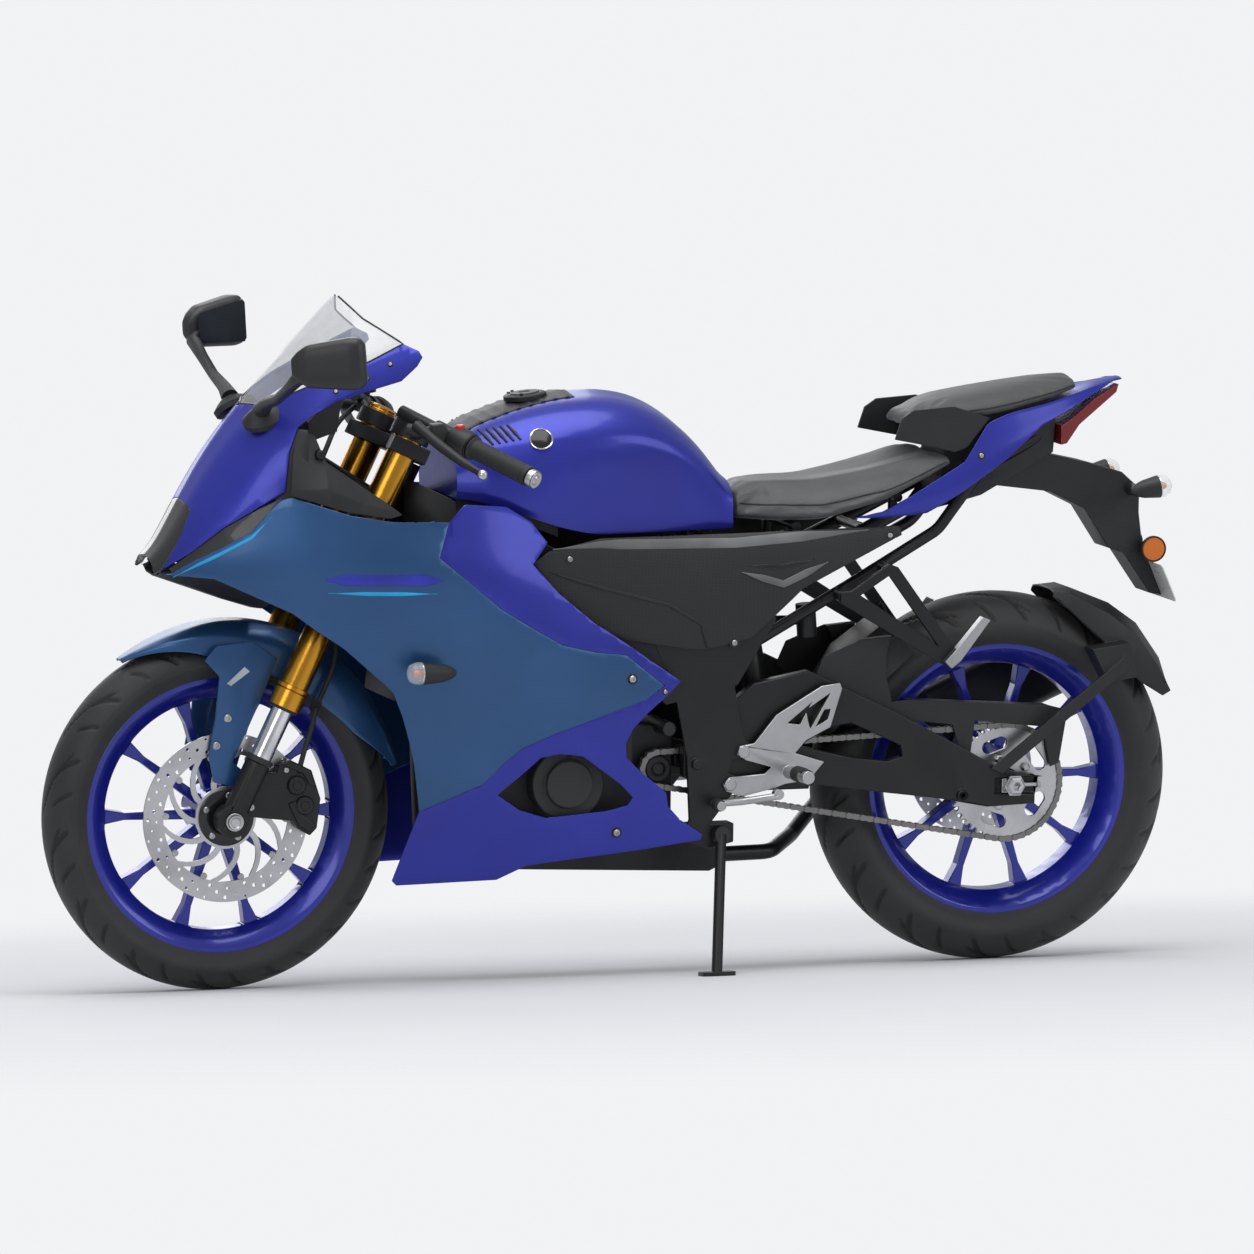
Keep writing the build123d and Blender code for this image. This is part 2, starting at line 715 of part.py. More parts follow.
header_start = Vector(241.9, -30, 560)
header = bent_tube((header_start, (322, -30, 532), (310, -30, 260), (290, -30, 216), (180, -30, 205)), 19, 30)
collector = side_prism(((200, 222), (200, 190), (-170, 174), (-196, 186), (-196, 206), (-150, 228)), -84, 44)
tail_pipe = bent_tube(((-190, 20, 198), (-290, 10, 198), (-350, -60, 214), (-440, -150, 270), (-560, -178, 358)), 13, 44)
finish(header + collector + tail_pipe, "exhaust_pipe")
hanger_inner = 122.5
with BuildPart() as muffler:
    for share, wide, tall in ((0, 24, 26), (0.18, 44, 58), (0.9, 46, 62), (1, 34, 48)):
        centre = Vector(-545, -178, 352) + Vector(-350, -14, 150) * share
        with BuildSketch(Plane(centre, x_dir=(0, 1, 0), z_dir=(-350, -14, 150))):
            RectangleRounded(2 * wide, 2 * tall, 18)
    loft(ruled=True)
ear_far = -hanger_inner + seat_gap
muffler_ear = side_prism(((-632, 400), (-588, 400), (-508, 585), (-528, 600)), ear_far, ear_far + 6)
muffler_root = side_prism(((-632, 396), (-588, 396), (-588, 424), (-632, 424)), -150, ear_far + 6)
finish(muffler.part + muffler_ear + muffler_root - tail_pipe, "muffler")

# ---------------------------------------------------------------- swingarm and rear axle
arm_outline = (
    (-96, 400),
    (-96, 346),
    (-150, 317),
    (-337, 325),
    (-432, 311),
    (-544, 296),
    (-637, 278),
    (-722, 281),
    (-722, 298),
    (-650, 300),
    (-650, 326),
    (-722, 327),
    (-684, 336),
    (-655, 345),
    (-569, 392),
    (-469, 445),
    (-370, 493),
    (-315, 519),
    (-219, 501),
)
arm_window = ((-300, 392), (-354, 423), (-392, 428), (-480, 388), (-484, 368), (-457, 361), (-392, 370))
arm = side_prism(arm_outline, arm_inner, arm_outer) - side_prism(arm_window, 90, 140)
arm = arm + side_prism(((-650, 296), (-724, 294), (-724, 330), (-650, 330)), arm_inner, arm_outer - 8)
bridge = side_prism(((-205, 316), (-326, 316), (-326, 372), (-205, 372)), -arm_inner - 1, arm_inner + 1)
pivot_fork = side_prism(((-96, 356), (-206, 330), (-206, 370), (-120, 392), (-96, 390)), 44, 70)
pivot_hole = rod((pivot_x, -200, pivot_z), (pivot_x, 200, pivot_z), 9 + seat_gap)
axle_hole = rod((rear_x, -200, rear_z), (rear_x, 200, rear_z), axle_radius + seat_gap)
swing_half = arm + pivot_fork
swingarm = swing_half + mirror(swing_half, Plane.XZ) + bridge - pivot_hole - axle_hole
spool_x = -590
spool_z = 300
spool_length = 10
spool_bore = 4
spool_depth = 22
spool_lead = 1.5
for side in (1, -1):
    face = side * arm_outer
    mouth = side * (arm_outer + spool_length)
    spool = rod((spool_x, face - side, spool_z), (spool_x, mouth, spool_z), 10)
    spool_hole = rod((spool_x, mouth, spool_z), (spool_x, mouth - side * spool_depth, spool_z), spool_bore)
    with BuildPart() as lead:
        with BuildSketch(Plane((spool_x, mouth, spool_z), x_dir=(1, 0, 0), z_dir=(0, -side, 0))):
            Circle(spool_bore + spool_lead)
        extrude(amount=spool_lead, taper=45)
    swingarm = swingarm + spool - spool_hole - lead.part
finish(swingarm, "swingarm")

with BuildPart() as rear_axle:
    with BuildSketch(Plane.XZ.offset(-arm_outer - 22)):
        with Locations((rear_x, rear_z)):
            Circle(axle_radius)
    extrude(amount=2 * arm_outer + 44)
    for line in (-arm_outer - seat_gap - 12, arm_outer + seat_gap):
        with BuildSketch(Plane.XZ.offset(-line)):
            with Locations((rear_x, rear_z)):
                RegularPolygon(16, 6)
        extrude(amount=-12)
adjuster = side_prism(((-662, 301), (-698, 301), (-698, 325), (-662, 325)), arm_outer - 8 + seat_gap, arm_outer + seat_gap)
adjuster = adjuster - rod((rear_x, 0, rear_z), (rear_x, 200, rear_z), axle_radius)
finish(Compound([rear_axle.part.solid(), *both_sides(adjuster).solids()]), "rear_axle")

shock_foot = Vector(-270, 0, 385)
shock_way = (shock_top - shock_foot).normalized()
shock_end = shock_top - shock_way * (9 + seat_gap)
spring = rod(shock_foot + shock_way * 30, shock_end - shock_way * 34, 30)
damper = rod(shock_foot - shock_way * 6, shock_end, 12)
reservoir = rod((-338, 44, 566), (-334, 44, 622), 17) + rod((-250, 0, 590), (-336, 44, 594), 8)
finish(spring + damper + reservoir - rod((-228, -40, 622), (-228, 40, 622), 9 + seat_gap), "shock_absorber")

rear_caliper_block = side_prism(((-590, 330), (-560, 400), (-610, 430), (-650, 380)), -arm_inner + seat_gap, -66)
finish(rear_caliper_block - rod((rear_x, -rear_disc_line - 4, rear_z), (rear_x, -rear_disc_line + 4, rear_z), 113), "rear_caliper")

cover_near = arm_inner - seat_gap - 3
cover_far = arm_inner - seat_gap
guard_outline = (
    (-470, 458),
    (-499, 461),
    (-753, 444),
    (-806, 430),
    (-784, 420),
    (-772, 346),
    (-756, 339),
    (-742, 408),
    (-620, 422),
    (-613, 366),
    (-596, 364),
    (-580, 416),
    (-520, 424),
    (-470, 430),
)
guard_top = side_prism(((-499, 461), (-753, 444), (-753, 440), (-499, 457)), 70, cover_near + 1)
chain_guard = side_prism(guard_outline, cover_near, cover_far) + guard_top

hugger_table = (
    # turn about the axle in degrees, half width, reach, depth of the side skirt
    (16, 66, 348, 30),
    (28, 92, 350, 56),
    (40, 94, 350, 66),
    (53, 90, 340, 60),
)
hugger_outline = (
    (-332, 500),
    (-350, 540),
    (-418, 566),
    (-470, 570),
    (-460, 543),
    (-460, 503),
    (-468, 473),
    (-478, 424),
    (-440, 432),
    (-380, 462),
)
hugger_well = rod((rear_x, -200, rear_z), (rear_x, 200, rear_z), 290)
hugger_side = side_prism(hugger_outline, cover_near, cover_far) + (
    side_prism(((-418, 566), (-470, 570), (-462, 540), (-430, 536)), 84, cover_near + 1) - hugger_well
)
rear_hugger = hooped(hugger_table, rear_centre, 3) + hugger_side + mirror(hugger_side, Plane.XZ)

flap_table = (
    # turn about the axle in degrees, half width, reach, depth of the side skirt
    (107, 56, 334, 12),
    (112, 72, 346, 34),
    (124, 82, 354, 60),
    (134, 84, 358, 66),
    (146, 84, 352, 58),
    (155, 70, 344, 22),
)
bar_near = arm_outer + seat_gap
bar_far = bar_near + 7
flap_bar = side_prism(((-640, 344), (-660, 334), (-886, 508), (-874, 524)), bar_near, bar_far)
flap_bracket = side_prism(((-821, 540), (-890, 549), (-902, 490), (-850, 484)), 80, bar_near + 1)
tyre_flap = hooped(flap_table, rear_centre, 3) + flap_bar + flap_bracket
guards = [chain_guard, rear_hugger, tyre_flap]
finish(Compound([solid for guard in guards for solid in guard.solids()]), "rear_guards")

# ---------------------------------------------------------------- fuel tank and seats
tank_stations = (
    # x, then the left half's (y, z) corners from the top centre down
    (300, ((0, 900), (46, 898), (73, 886), (89, 860), (97, 836), (97, 818))),
    (262, ((0, 938), (66, 934), (104, 914), (124, 880), (132, 838), (126, 818))),
    (180, ((0, 968), (76, 962), (128, 930), (150, 884), (150, 806), (140, 790))),
    (120, ((0, 982), (80, 974), (132, 938), (150, 888), (138, 804), (128, 770))),
    (60, ((0, 988), (80, 978), (134, 936), (144, 890), (124, 800), (118, 757))),
    (10, ((0, 986), (79, 974), (131, 930), (134, 880), (114, 794), (110, 757))),
    (-40, ((0, 974), (76, 960), (124, 916), (120, 864), (106, 790), (103, 757))),
    (-90, ((0, 946), (70, 934), (112, 896), (108, 848), (98, 784), (94, 757))),
    (-140, ((0, 902), (60, 892), (94, 862), (95, 824), (90, 778), (86, 757))),
    (-192, ((0, 832), (48, 826), (72, 806), (76, 790), (78, 766), (76, 757))),
)
with BuildPart() as tank:
    for x, half in tank_stations:
        with BuildSketch(Plane.YZ.offset(x)):
            Polygon(*half, *[(-y, z) for y, z in reversed(half[1:])], align=None)
    loft(ruled=True)
cap_x = 150
cap_radius = 36
cap_well = rod((cap_x, 0, 976 - seat_gap), (cap_x + 2, 0, 1004), cap_radius + seat_gap)
finish(tank.part - cap_well, "fuel_tank")
finish(rod((cap_x, 0, 976), (cap_x + 2, 0, 992), cap_radius), "tank_cap")


def cushion(stations):
    """A solid pad through half sections of (y, z) corners, listed as (x, section)."""
    with BuildPart() as pad:
        for x, half in stations:
            with BuildSketch(Plane.YZ.offset(x)):
                Polygon(*half, *[(-y, z) for y, z in reversed(half) if y > 0], align=None)
        loft(ruled=True)
    return pad.part


finish(
    cushion(
        (
            (-200, ((0, 822), (40, 820), (66, 800), (70, 770), (0, 770))),
            (-260, ((0, 826), (60, 826), (96, 800), (100, 766), (0, 766))),
            (-340, ((0, 824), (84, 828), (120, 800), (124, 768), (0, 768))),
            (-450, ((0, 838), (90, 850), (128, 824), (126, 799), (0, 799))),
            (-540, ((0, 862), (88, 872), (116, 856), (112, 842), (0, 842))),
            (-572, ((0, 872), (76, 872), (98, 866), (98, 858), (0, 858))),
        )
    ),
    "rider_seat",
)
finish(
    cushion(
        (
            (-510, ((0, 940), (46, 936), (70, 922), (70, 914), (0, 914))),
            (-560, ((0, 962), (64, 958), (90, 940), (90, 926), (0, 926))),
            (-660, ((0, 978), (66, 972), (92, 952), (92, 938), (0, 938))),
            (-760, ((0, 992), (54, 986), (76, 972), (76, 960), (0, 960))),
            (-812, ((0, 998), (36, 992), (54, 984), (54, 976), (0, 976))),
        )
    ),
    "pillion_seat",
)

# ---------------------------------------------------------------- tail
tail_stations = (
    (-380, ((96, 800), (112, 790), (116, 772), (104, 760))),
    (-530, ((108, 860), (116, 830), (116, 790), (98, 766))),
    (-650, ((94, 936), (110, 880), (106, 830), (80, 800))),
    (-760, ((78, 956), (92, 920), (84, 880), (64, 850))),
    (-906, ((12, 992), (24, 986), (22, 976), (10, 970))),
)
tail_outline = (
    (-394, 772),
    (-447, 782),
    (-517, 820),
    (-590, 862),
    (-640, 930),
    (-652, 944),
    (-866, 980),
    (-900, 990),
    (-735, 918),
    (-668, 864),
    (-590, 812),
    (-527, 776),
    (-447, 770),
)
finish(both_sides(trimmed(skin(tail_stations), tail_outline)), "tail_cowls")

trim_outline = ((-470, 900), (-482, 936), (-503, 950), (-575, 955), (-640, 934), (-600, 884), (-578, 876), (-540, 886))
trim = side_prism(trim_outline, 92, 96, panel_gap)
finish(both_sides(trim), "seat_trims")

under_outline = (
    (-544, 776),
    (-562, 800),
    (-572.6, 850),
    (-572.6, 876),
    (-575, 925.5),
    (-660, 937.6),
    (-760, 959.6),
    (-772, 930),
    (-768, 868.7),
    (-640, 799),
    (-590, 786),
)
cowl_ties = rod((-690, -92.3, 900), (-690, 92.3, 900), 8) + rod((-610, -104, 850), (-610, 104, 850), 8)
under_tail = side_prism(under_outline, -58, 58) + cowl_ties - tail_rails - rail_ties

lamp_outline = (
    (-898, 978),
    (-893, 964),
    (-815, 914),
    (-789, 884),
    (-776, 882),
    (-776, 914),
    (-800, 926),
    (-850, 958),
)
with BuildPart() as lamp_wedge:
    with BuildSketch(Plane.XY.offset(860)):
        Polygon((-770, 76), (-904, 20), (-904, -20), (-770, -76), align=None)
    extrude(amount=140)
tail_lamp = side_prism(lamp_outline, -90, 90) & lamp_wedge.part
finish(tail_lamp, "tail_lamp")

holder_outline = (
    (-666, 812.8),
    (-760, 864.2),
    (-843, 846),
    (-902, 829),
    (-934, 801),
    (-934, 759),
    (-942, 700),
    (-978, 617),
    (-956, 621),
    (-907, 691),
    (-880, 700),
    (-835, 768),
    (-772, 799),
)
holder_half = 34
plate_holder = side_prism(holder_outline, -holder_half, holder_half)
finish(Compound([*under_tail.solids(), *plate_holder.solids()]), "under_tail")
plate_way = Vector(-83, 0, 36).normalized()
plate_seat = Vector(-966.4, 0, 643.8) + plate_way * seat_gap
with BuildPart() as number_plate:
    with BuildSketch(Plane(plate_seat, x_dir=(0, 1, 0), z_dir=plate_way)):
        RectangleRounded(190, 68, 6)
    extrude(amount=2)
finish(number_plate.part, "number_plate")

signal_x, signal_z = -918, 800
rear_signal = rod((signal_x, holder_half + seat_gap, signal_z), (signal_x, 100, signal_z), 8)
rear_pod = rod((signal_x + 22, 122, signal_z + 8), (signal_x - 34, 124, signal_z + 16), 19)
rear_neck = rod((signal_x - 6, 96, signal_z + 8), (signal_x - 6, 122, signal_z + 12), 8)
front_signal = rod((384, 190, 551), (384, 238, 551), 9) + rod((352, 238, 551), (424, 244, 552), 19)
signals = [*both_sides(rear_signal + rear_neck + rear_pod).solids()]

reflector_foot = rod((-948, holder_half + seat_gap, 702), (-950, 50, 700), 7)
reflector = rod((-950, 48, 700), (-953, 56, 699), 22) + reflector_foot
finish(both_sides(reflector), "reflectors")

# ---------------------------------------------------------------- nose, screen and cockpit
nose_stations = (
    # x, then the left half's (y, z) corners from the top centre down to the lower edge
    (806, ((0, 716), (34, 712), (52, 700), (56, 676))),
    (775, ((0, 772), (42, 764), (76, 732), (84, 684))),
    (728, ((0, 862), (56, 846), (100, 786), (112, 712))),
    (690, ((0, 922), (62, 902), (116, 836), (132, 742))),
    (645, ((0, 980), (76, 952), (134, 886), (152, 772))),
    (560, ((0, 1076), (100, 1030), (152, 955), (172, 820))),
    (480, ((0, 1160), (116, 1088), (160, 1005), (176, 880))),
    (372, ((0, 1230), (126, 1120), (160, 1055), (168, 980))),
)
cowl_outline = (
    (815, 702),
    (796, 709),
    (754, 740),
    (703, 785),
    (644, 824),
    (609, 846),
    (600, 911),
    (584, 950),
    (562, 968),
    (521, 992),
    (471, 1009),
    (414, 1025),
    (386, 1049),
    (376, 1063),
    (381, 1073),
    (405, 1084),
    (477, 1049),
    (557, 1015),
    (625, 980),
    (648, 977),
    (652, 990),
    (830, 800),
)
lamp_window = ((830, 820), (794, 818), (748, 822), (744, 808), (790, 722), (830, 722))
nose_skin = skin(nose_stations, centred=True)
with BuildPart() as nose_block:
    for x, section in nose_stations:
        with BuildSketch(Plane.YZ.offset(x)):
            Polygon(*section, (0, section[-1][1]), align=None)
    loft(ruled=True)
cowl_half = trimmed(nose_skin, cowl_outline) - side_prism(lamp_window, -1, 66)
finish(cowl_half + mirror(cowl_half, Plane.XZ), "nose_cowl")

screen_outline = ((652, 990), (648, 977), (625, 980), (557, 1015), (477, 1049), (405, 1084), (457, 1121), (484, 1158))
screen_half = trimmed(skin(nose_stations, 3, centred=True), screen_outline)
finish(screen_half + mirror(screen_half, Plane.XZ), "windscreen")

lamp_core = side_prism(((770, 800), (745, 800), (740, 720), (786, 716)), -50, 50)
finish(lamp_core, "headlamp")

cockpit_stations = (
    # x, then the left (y, z) corners from the top down
    (616, ((128, 960), (152, 905), (172, 848), (173, 832))),
    (540, ((126, 930), (150, 890), (176, 850), (180, 812))),
    (480, ((128, 900), (152, 860), (176, 826), (184, 795))),
    (405, ((146, 850), (164, 826), (180, 806), (186, 780))),
)
cockpit_outline = (
    (606, 842),
    (596, 905),
    (580, 944),
    (553, 940),
    (538, 893),
    (439, 825),
    (415, 806),
    (437, 800),
    (506, 811),
    (583, 835),
)
cockpit_panels = both_sides(trimmed(skin(cockpit_stations), cockpit_outline)) - nose_stay

liner_stations = (
    # x, then the left half's (y, z) corners from the bottom centre up
    (792, ((0, 698), (36, 700), (54, 708))),
    (741, ((0, 680), (52, 684), (84, 706))),
    (674, ((0, 656), (60, 660), (116, 690))),
    (622, ((0, 640), (64, 646), (146, 668))),
)
liner = skin(liner_stations, centred=True)
nose_liner = liner + mirror(liner, Plane.XZ)

panel_outline = ((498, 934), (490, 990), (500, 1000), (548, 950), (548, 917))
instrument_panel = side_prism(panel_outline, -75, 75) - nose_stay
inner_panels = [cockpit_panels, nose_liner, instrument_panel]
finish(Compound([solid for piece in inner_panels for solid in piece.solids()]), "cockpit_panels")

mirror_foot = Vector(629, 85, 962)
mirror_neck = Vector(636, 305, 1048)
mirror_centre = Vector(592, 338, 1074)
mirror_way = Vector(-106, 47.6, 10)
mirror_stem = bent_tube((mirror_foot + Vector(4, 8, 16), (634, 190, 1004), mirror_neck), 9, 30)
with BuildPart() as mirror_head:
    for share, wide, tall in ((-0.5, 12, 22), (-0.3, 20, 36), (0.3, 22, 44), (0.5, 12, 38)):
        centre = mirror_centre + mirror_way * share
        with BuildSketch(Plane(centre, x_dir=(47.6, 106, 0), z_dir=mirror_way)):
            RectangleRounded(2 * wide, 2 * tall, 8)
    loft(ruled=True)
with BuildPart() as mirror_base:
    with BuildSketch(Plane(mirror_foot + Vector(-2.6, -3.2, -5.6), x_dir=(-0.9, 0.1, 0.4), z_dir=(0.4, 0.42, 0.81))):
        RectangleRounded(76, 40, 14)
    extrude(amount=28, taper=18)
mirror_base_seated = mirror_base.part - nose_block.part
finish(both_sides(mirror_stem + mirror_head.part + mirror_base_seated), "mirrors")

# ---------------------------------------------------------------- side fairings
side_stations = (
    # x, then the left (y, z) corners from the shoulder down to the belly
    (792, ((60, 746), (66, 716), (60, 690), (58, 600), (56, 450), (54, 185))),
    (700, ((116, 790), (132, 722), (125, 660), (112, 560), (100, 420), (90, 185))),
    (600, ((172, 846), (184, 730), (174, 640), (152, 540), (132, 400), (110, 182))),
    (500, ((186, 830), (206, 734), (200, 600), (186, 520), (160, 380), (118, 180))),
    (400, ((186, 815), (214, 738), (208, 620), (198, 500), (172, 360), (126, 178))),
    (250, ((168, 824), (204, 720), (206, 620), (196, 500), (172, 350), (128, 178))),
    (100, ((148, 750), (176, 660), (186, 590), (186, 480), (168, 340), (138, 185))),
    (-140, ((144, 600), (152, 560), (158, 510), (162, 430), (156, 330), (142, 215))),
)
side_skin = skin(side_stations)
teal_outline = (
    (796, 704),
    (778, 703),
    (718, 700),
    (652, 670),
    (601, 647),
    (563, 619),
    (518, 589),
    (450, 529),
    (433, 513),
    (415, 471),
    (401, 428),
    (390, 386),
    (376, 309),
    (271, 352),
    (237, 386),
    (205, 412),
    (148, 435),
    (68, 461),
    (-12, 486),
    (-45, 508),
    (24, 562),
    (83, 570),
    (141, 584),
    (196, 615),
    (252, 649),
    (360, 737),
    (338, 793),
    (437, 797),
    (506, 808),
    (583, 832),
    (609, 841),
    (626, 826),
    (648, 800),
    (664, 780),
    (708, 752),
    (744, 732),
    (780, 707),
)
finish(both_sides(trimmed(side_skin, teal_outline)), "side_fairings")
slit_outline = (
    (782, 714),
    (754, 739),
    (703, 783),
    (644, 822),
    (612, 843),
    (622, 824),
    (644, 797),
    (660, 776),
    (706, 748),
    (742, 728),
    (776, 704),
)
slit_skin = side_skin.moved(Location((0, -panel_wall - seat_gap, 0)))
finish(both_sides(trimmed(slit_skin, slit_outline)), "position_lamps")
belly_outline = (
    (376, 309),
    (271, 352),
    (237, 386),
    (205, 412),
    (148, 435),
    (68, 461),
    (-12, 486),
    (-45, 508),
    (-75, 514),
    (-49, 490),
    (-16, 464),
    (10, 438),
    (22, 414),
    (20, 390),
    (-5, 366),
    (-54, 327),
    (-59, 303),
    (-82, 279),
    (-123, 252),
    (-120, 243),
    (-15, 230),
    (126, 216),
    (183, 209),
    (232, 186),
    (404, 182),
    (412, 190),
)
belly_window = ((243, 334), (203, 367), (171, 395), (139, 400), (98, 395), (28, 344), (5, 321), (14, 307), (49, 299), (155, 291), (203, 306))
finish(both_sides(trimmed(side_skin, belly_outline, belly_window)), "belly_fairings")
mid_outline = (
    (338, 793),
    (308, 820),
    (233, 814),
    (188, 787),
    (160, 752),
    (191, 719),
    (147, 671),
    (82, 618),
    (40, 592),
    (-75, 514),
    (-45, 508),
    (24, 562),
    (83, 570),
    (141, 584),
    (196, 615),
    (252, 649),
    (360, 737),
)
finish(both_sides(trimmed(side_skin, mid_outline)), "mid_fairings")
signal_pod = front_signal - side_skin
signal_pod = max(signal_pod.solids(), key=lambda solid: solid.volume)
finish(Compound([*signals, *both_sides(signal_pod).solids()]), "turn_signals")

cover_stations = (
    (186, ((146, 752), (152, 735), (150, 690), (146, 640))),
    (60, ((134, 754), (142, 740), (146, 660), (144, 590))),
    (-120, ((112, 756), (130, 740), (144, 660), (143, 560))),
    (-300, ((110, 760), (126, 744), (136, 660), (136, 600))),
    (-480, ((100, 764), (110, 752), (112, 735), (110, 720))),
)
cover_outline = (
    (152, 735),
    (180, 716),
    (140, 668),
    (78, 612),
    (30, 588),
    (-60, 540),
    (-176, 552),
    (-300, 660),
    (-480, 742),
    (-477, 758),
    (-176, 753),
    (60, 753),
)
cover_pad = rod((-60, plate_far + seat_gap, 600), (-60, 142.4, 600), 10)
finish(both_sides(trimmed(skin(cover_stations, 3), cover_outline) + cover_pad), "side_covers")

# ---------------------------------------------------------------- footrests, foot controls and stand
hanger_near = arm_outer + 2 + plate_wall + seat_gap
hanger_outline = (
    (-364, 499),
    (-368, 490),
    (-348, 425),
    (-305, 404),
    (-286, 383),
    (-338, 367),
    (-312, 337),
    (-270, 332),
    (-250, 325),
    (-195, 313),
    (-166, 322),
    (-160, 334),
    (-170, 346),
    (-233, 350),
    (-245, 361),
    (-200, 374),
    (-184, 384),
    (-188, 398),
    (-214, 402),
    (-253, 449),
    (-332, 495),
)
hanger_slots = (
    ((-271, 434), (-314, 468), (-294, 431)),
    ((-304, 455), (-346, 482), (-312, 424)),
    ((-323, 428), (-337, 455), (-348, 456), (-343, 438)),
)
hanger_far = hanger_near + 7
rider_hanger = side_prism(hanger_outline, hanger_near, hanger_far)
for slot in hanger_slots:
    rider_hanger = rider_hanger - side_prism(slot, hanger_near - 1, hanger_far + 1)
rider_peg = rod((-276, hanger_far - 1, 352), (-280, hanger_far + 88, 354), 11)
hanger_bosses = rod((-195, hanger_near, 388), (-195, hanger_far + 3, 388), 10) + rod(
    (-172, hanger_near, 334), (-172, hanger_far + 3, 334), 10
)
rider_footrests = both_sides(rider_hanger + rider_peg + hanger_bosses)

shift_line = hanger_far + 9
shift_rod = bent_tube(((-254, shift_line, 313), (-190, shift_line, 306), (-142, shift_line, 304)), 6, 12)
toe_peg = rod((-144, shift_line - 5, 304), (-144, shift_line + 32, 304), 8)
shift_pin = rod((-254, hanger_far + seat_gap, 316), (-254, shift_line + 5, 316), 9)
finish(both_sides(shift_rod + toe_peg + shift_pin), "foot_controls")

hanger_legs = ((-368, 650), (-386, 652), (-452, 696), (-468, 690), (-578, 540), (-566, 520), (-548, 524), (-366, 632))
hanger_hole = ((-402, 644), (-452, 676), (-540, 556))
pillion_hanger = side_prism(hanger_legs, hanger_inner, hanger_inner + 8) - side_prism(hanger_hole, 100, 150)
finish(both_sides(pillion_hanger), "pillion_hangers")
peg_root = hanger_inner + 8 + seat_gap
peg_outline = ((-548, 530), (-560, 518), (-576, 530), (-628, 598), (-614, 604), (-566, 548))
pillion_pegs = both_sides(side_prism(peg_outline, peg_root, peg_root + 16))
finish(Compound([*rider_footrests.solids(), *pillion_pegs.solids()]), "footrests")

# The stand swings about an axis tilted so that it splays when down and tucks when up.
stand_root = Vector(-156, arm_outer + 11 + 11, 250)
stand_swing = 98
foot_y = 245
foot_wall = 7
ground_up = Vector(0, -math.sin(lean_angle), math.cos(lean_angle))
foot_sole = Vector(-118, foot_y, foot_y * ground_slope)
foot_point = foot_sole + ground_up * foot_wall / 2
down_way = (foot_point - stand_root).normalized()
folded_way = Vector(-0.985, 0.03, 0.02).normalized()
across = (down_way - folded_way).normalized()
stand_axis = (Vector(0, 1, 0) - across * across.Y).normalized()
stand_leg = rod(stand_root, foot_point, 9)
stand_hub = rod(stand_root - stand_axis * 7, stand_root + stand_axis * 7, 15)
with BuildPart() as stand_foot:
    with BuildSketch(Plane(foot_sole, x_dir=(1, 0, 0), z_dir=ground_up)):
        RectangleRounded(58, 44, 12)
    extrude(amount=foot_wall)
below_sole = Plane(foot_sole, x_dir=(1, 0, 0), z_dir=ground_up)
stand = stand_leg + stand_hub + stand_foot.part
finish(split(stand, bisect_by=below_sole, keep=Keep.TOP), "side_stand")

# ---------------------------------------------------------------- parked on the stand
tilted = Location((0, 0, 0), (-lean, 0, 0))
box = Compound([node.moved(tilted) for node in nodes]).bounding_box()
parked = Location((-(box.min.X + box.max.X) / 2, -(box.min.Y + box.max.Y) / 2, -box.min.Z)) * tilted
for node in nodes:
    placed = node.moved(parked)
    placed.label = node.label
    export_step(placed, f"parts/{node.label}.step")
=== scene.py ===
"""Finishes, soft parts and fine detail of a faired sport motorcycle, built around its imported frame.

All lengths are in metres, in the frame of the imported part: +X runs forward, +Y to the rider's left
and +Z up, with the floor at zero. The motorcycle leans on its side stand, so most pieces are made in the
machine's own upright frame and then leaned with it.
"""

from __future__ import annotations

import json
import logging
import math
from dataclasses import dataclass, field
from enum import Enum
from typing import Any, ClassVar, Sequence

import bmesh
import bpy
from mathutils import Matrix, Vector
from mathutils.bvhtree import BVHTree


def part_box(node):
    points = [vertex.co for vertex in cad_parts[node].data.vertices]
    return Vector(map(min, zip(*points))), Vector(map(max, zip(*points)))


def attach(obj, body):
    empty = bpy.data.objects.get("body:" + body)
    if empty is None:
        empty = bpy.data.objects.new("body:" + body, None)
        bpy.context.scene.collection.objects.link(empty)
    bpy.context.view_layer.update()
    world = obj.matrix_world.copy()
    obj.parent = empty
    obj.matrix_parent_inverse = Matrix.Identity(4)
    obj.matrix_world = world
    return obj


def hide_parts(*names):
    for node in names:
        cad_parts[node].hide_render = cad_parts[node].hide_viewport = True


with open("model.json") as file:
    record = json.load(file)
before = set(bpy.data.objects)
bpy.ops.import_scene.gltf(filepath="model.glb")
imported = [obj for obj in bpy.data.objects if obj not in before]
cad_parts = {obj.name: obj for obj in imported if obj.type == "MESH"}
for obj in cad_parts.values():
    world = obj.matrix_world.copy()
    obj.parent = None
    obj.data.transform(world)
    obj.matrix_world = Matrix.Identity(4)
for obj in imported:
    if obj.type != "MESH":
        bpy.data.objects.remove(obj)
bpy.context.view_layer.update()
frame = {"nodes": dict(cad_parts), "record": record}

LOG = logging.getLogger("motorcycle")
Colour = tuple[float, float, float]
Point = tuple[float, float, float]

LEAN = math.radians(7.0)
UPRIGHT_AXLE = Vector((0.68, 0.0, 0.29639))


def parked_shift() -> Vector:
    """How far the leaned machine was moved to centre its box.

    Returns:
        The shift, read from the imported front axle.
    """
    low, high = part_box("front_axle")
    middle = (Vector(low) + Vector(high)) / 2.0
    shift = middle - Matrix.Rotation(-LEAN, 3, "X") @ UPRIGHT_AXLE
    return Vector((shift.x, shift.y, 0.0))


PARKED_SHIFT = parked_shift()
LEANED = Matrix.Translation(PARKED_SHIFT) @ Matrix.Rotation(-LEAN, 4, "X")


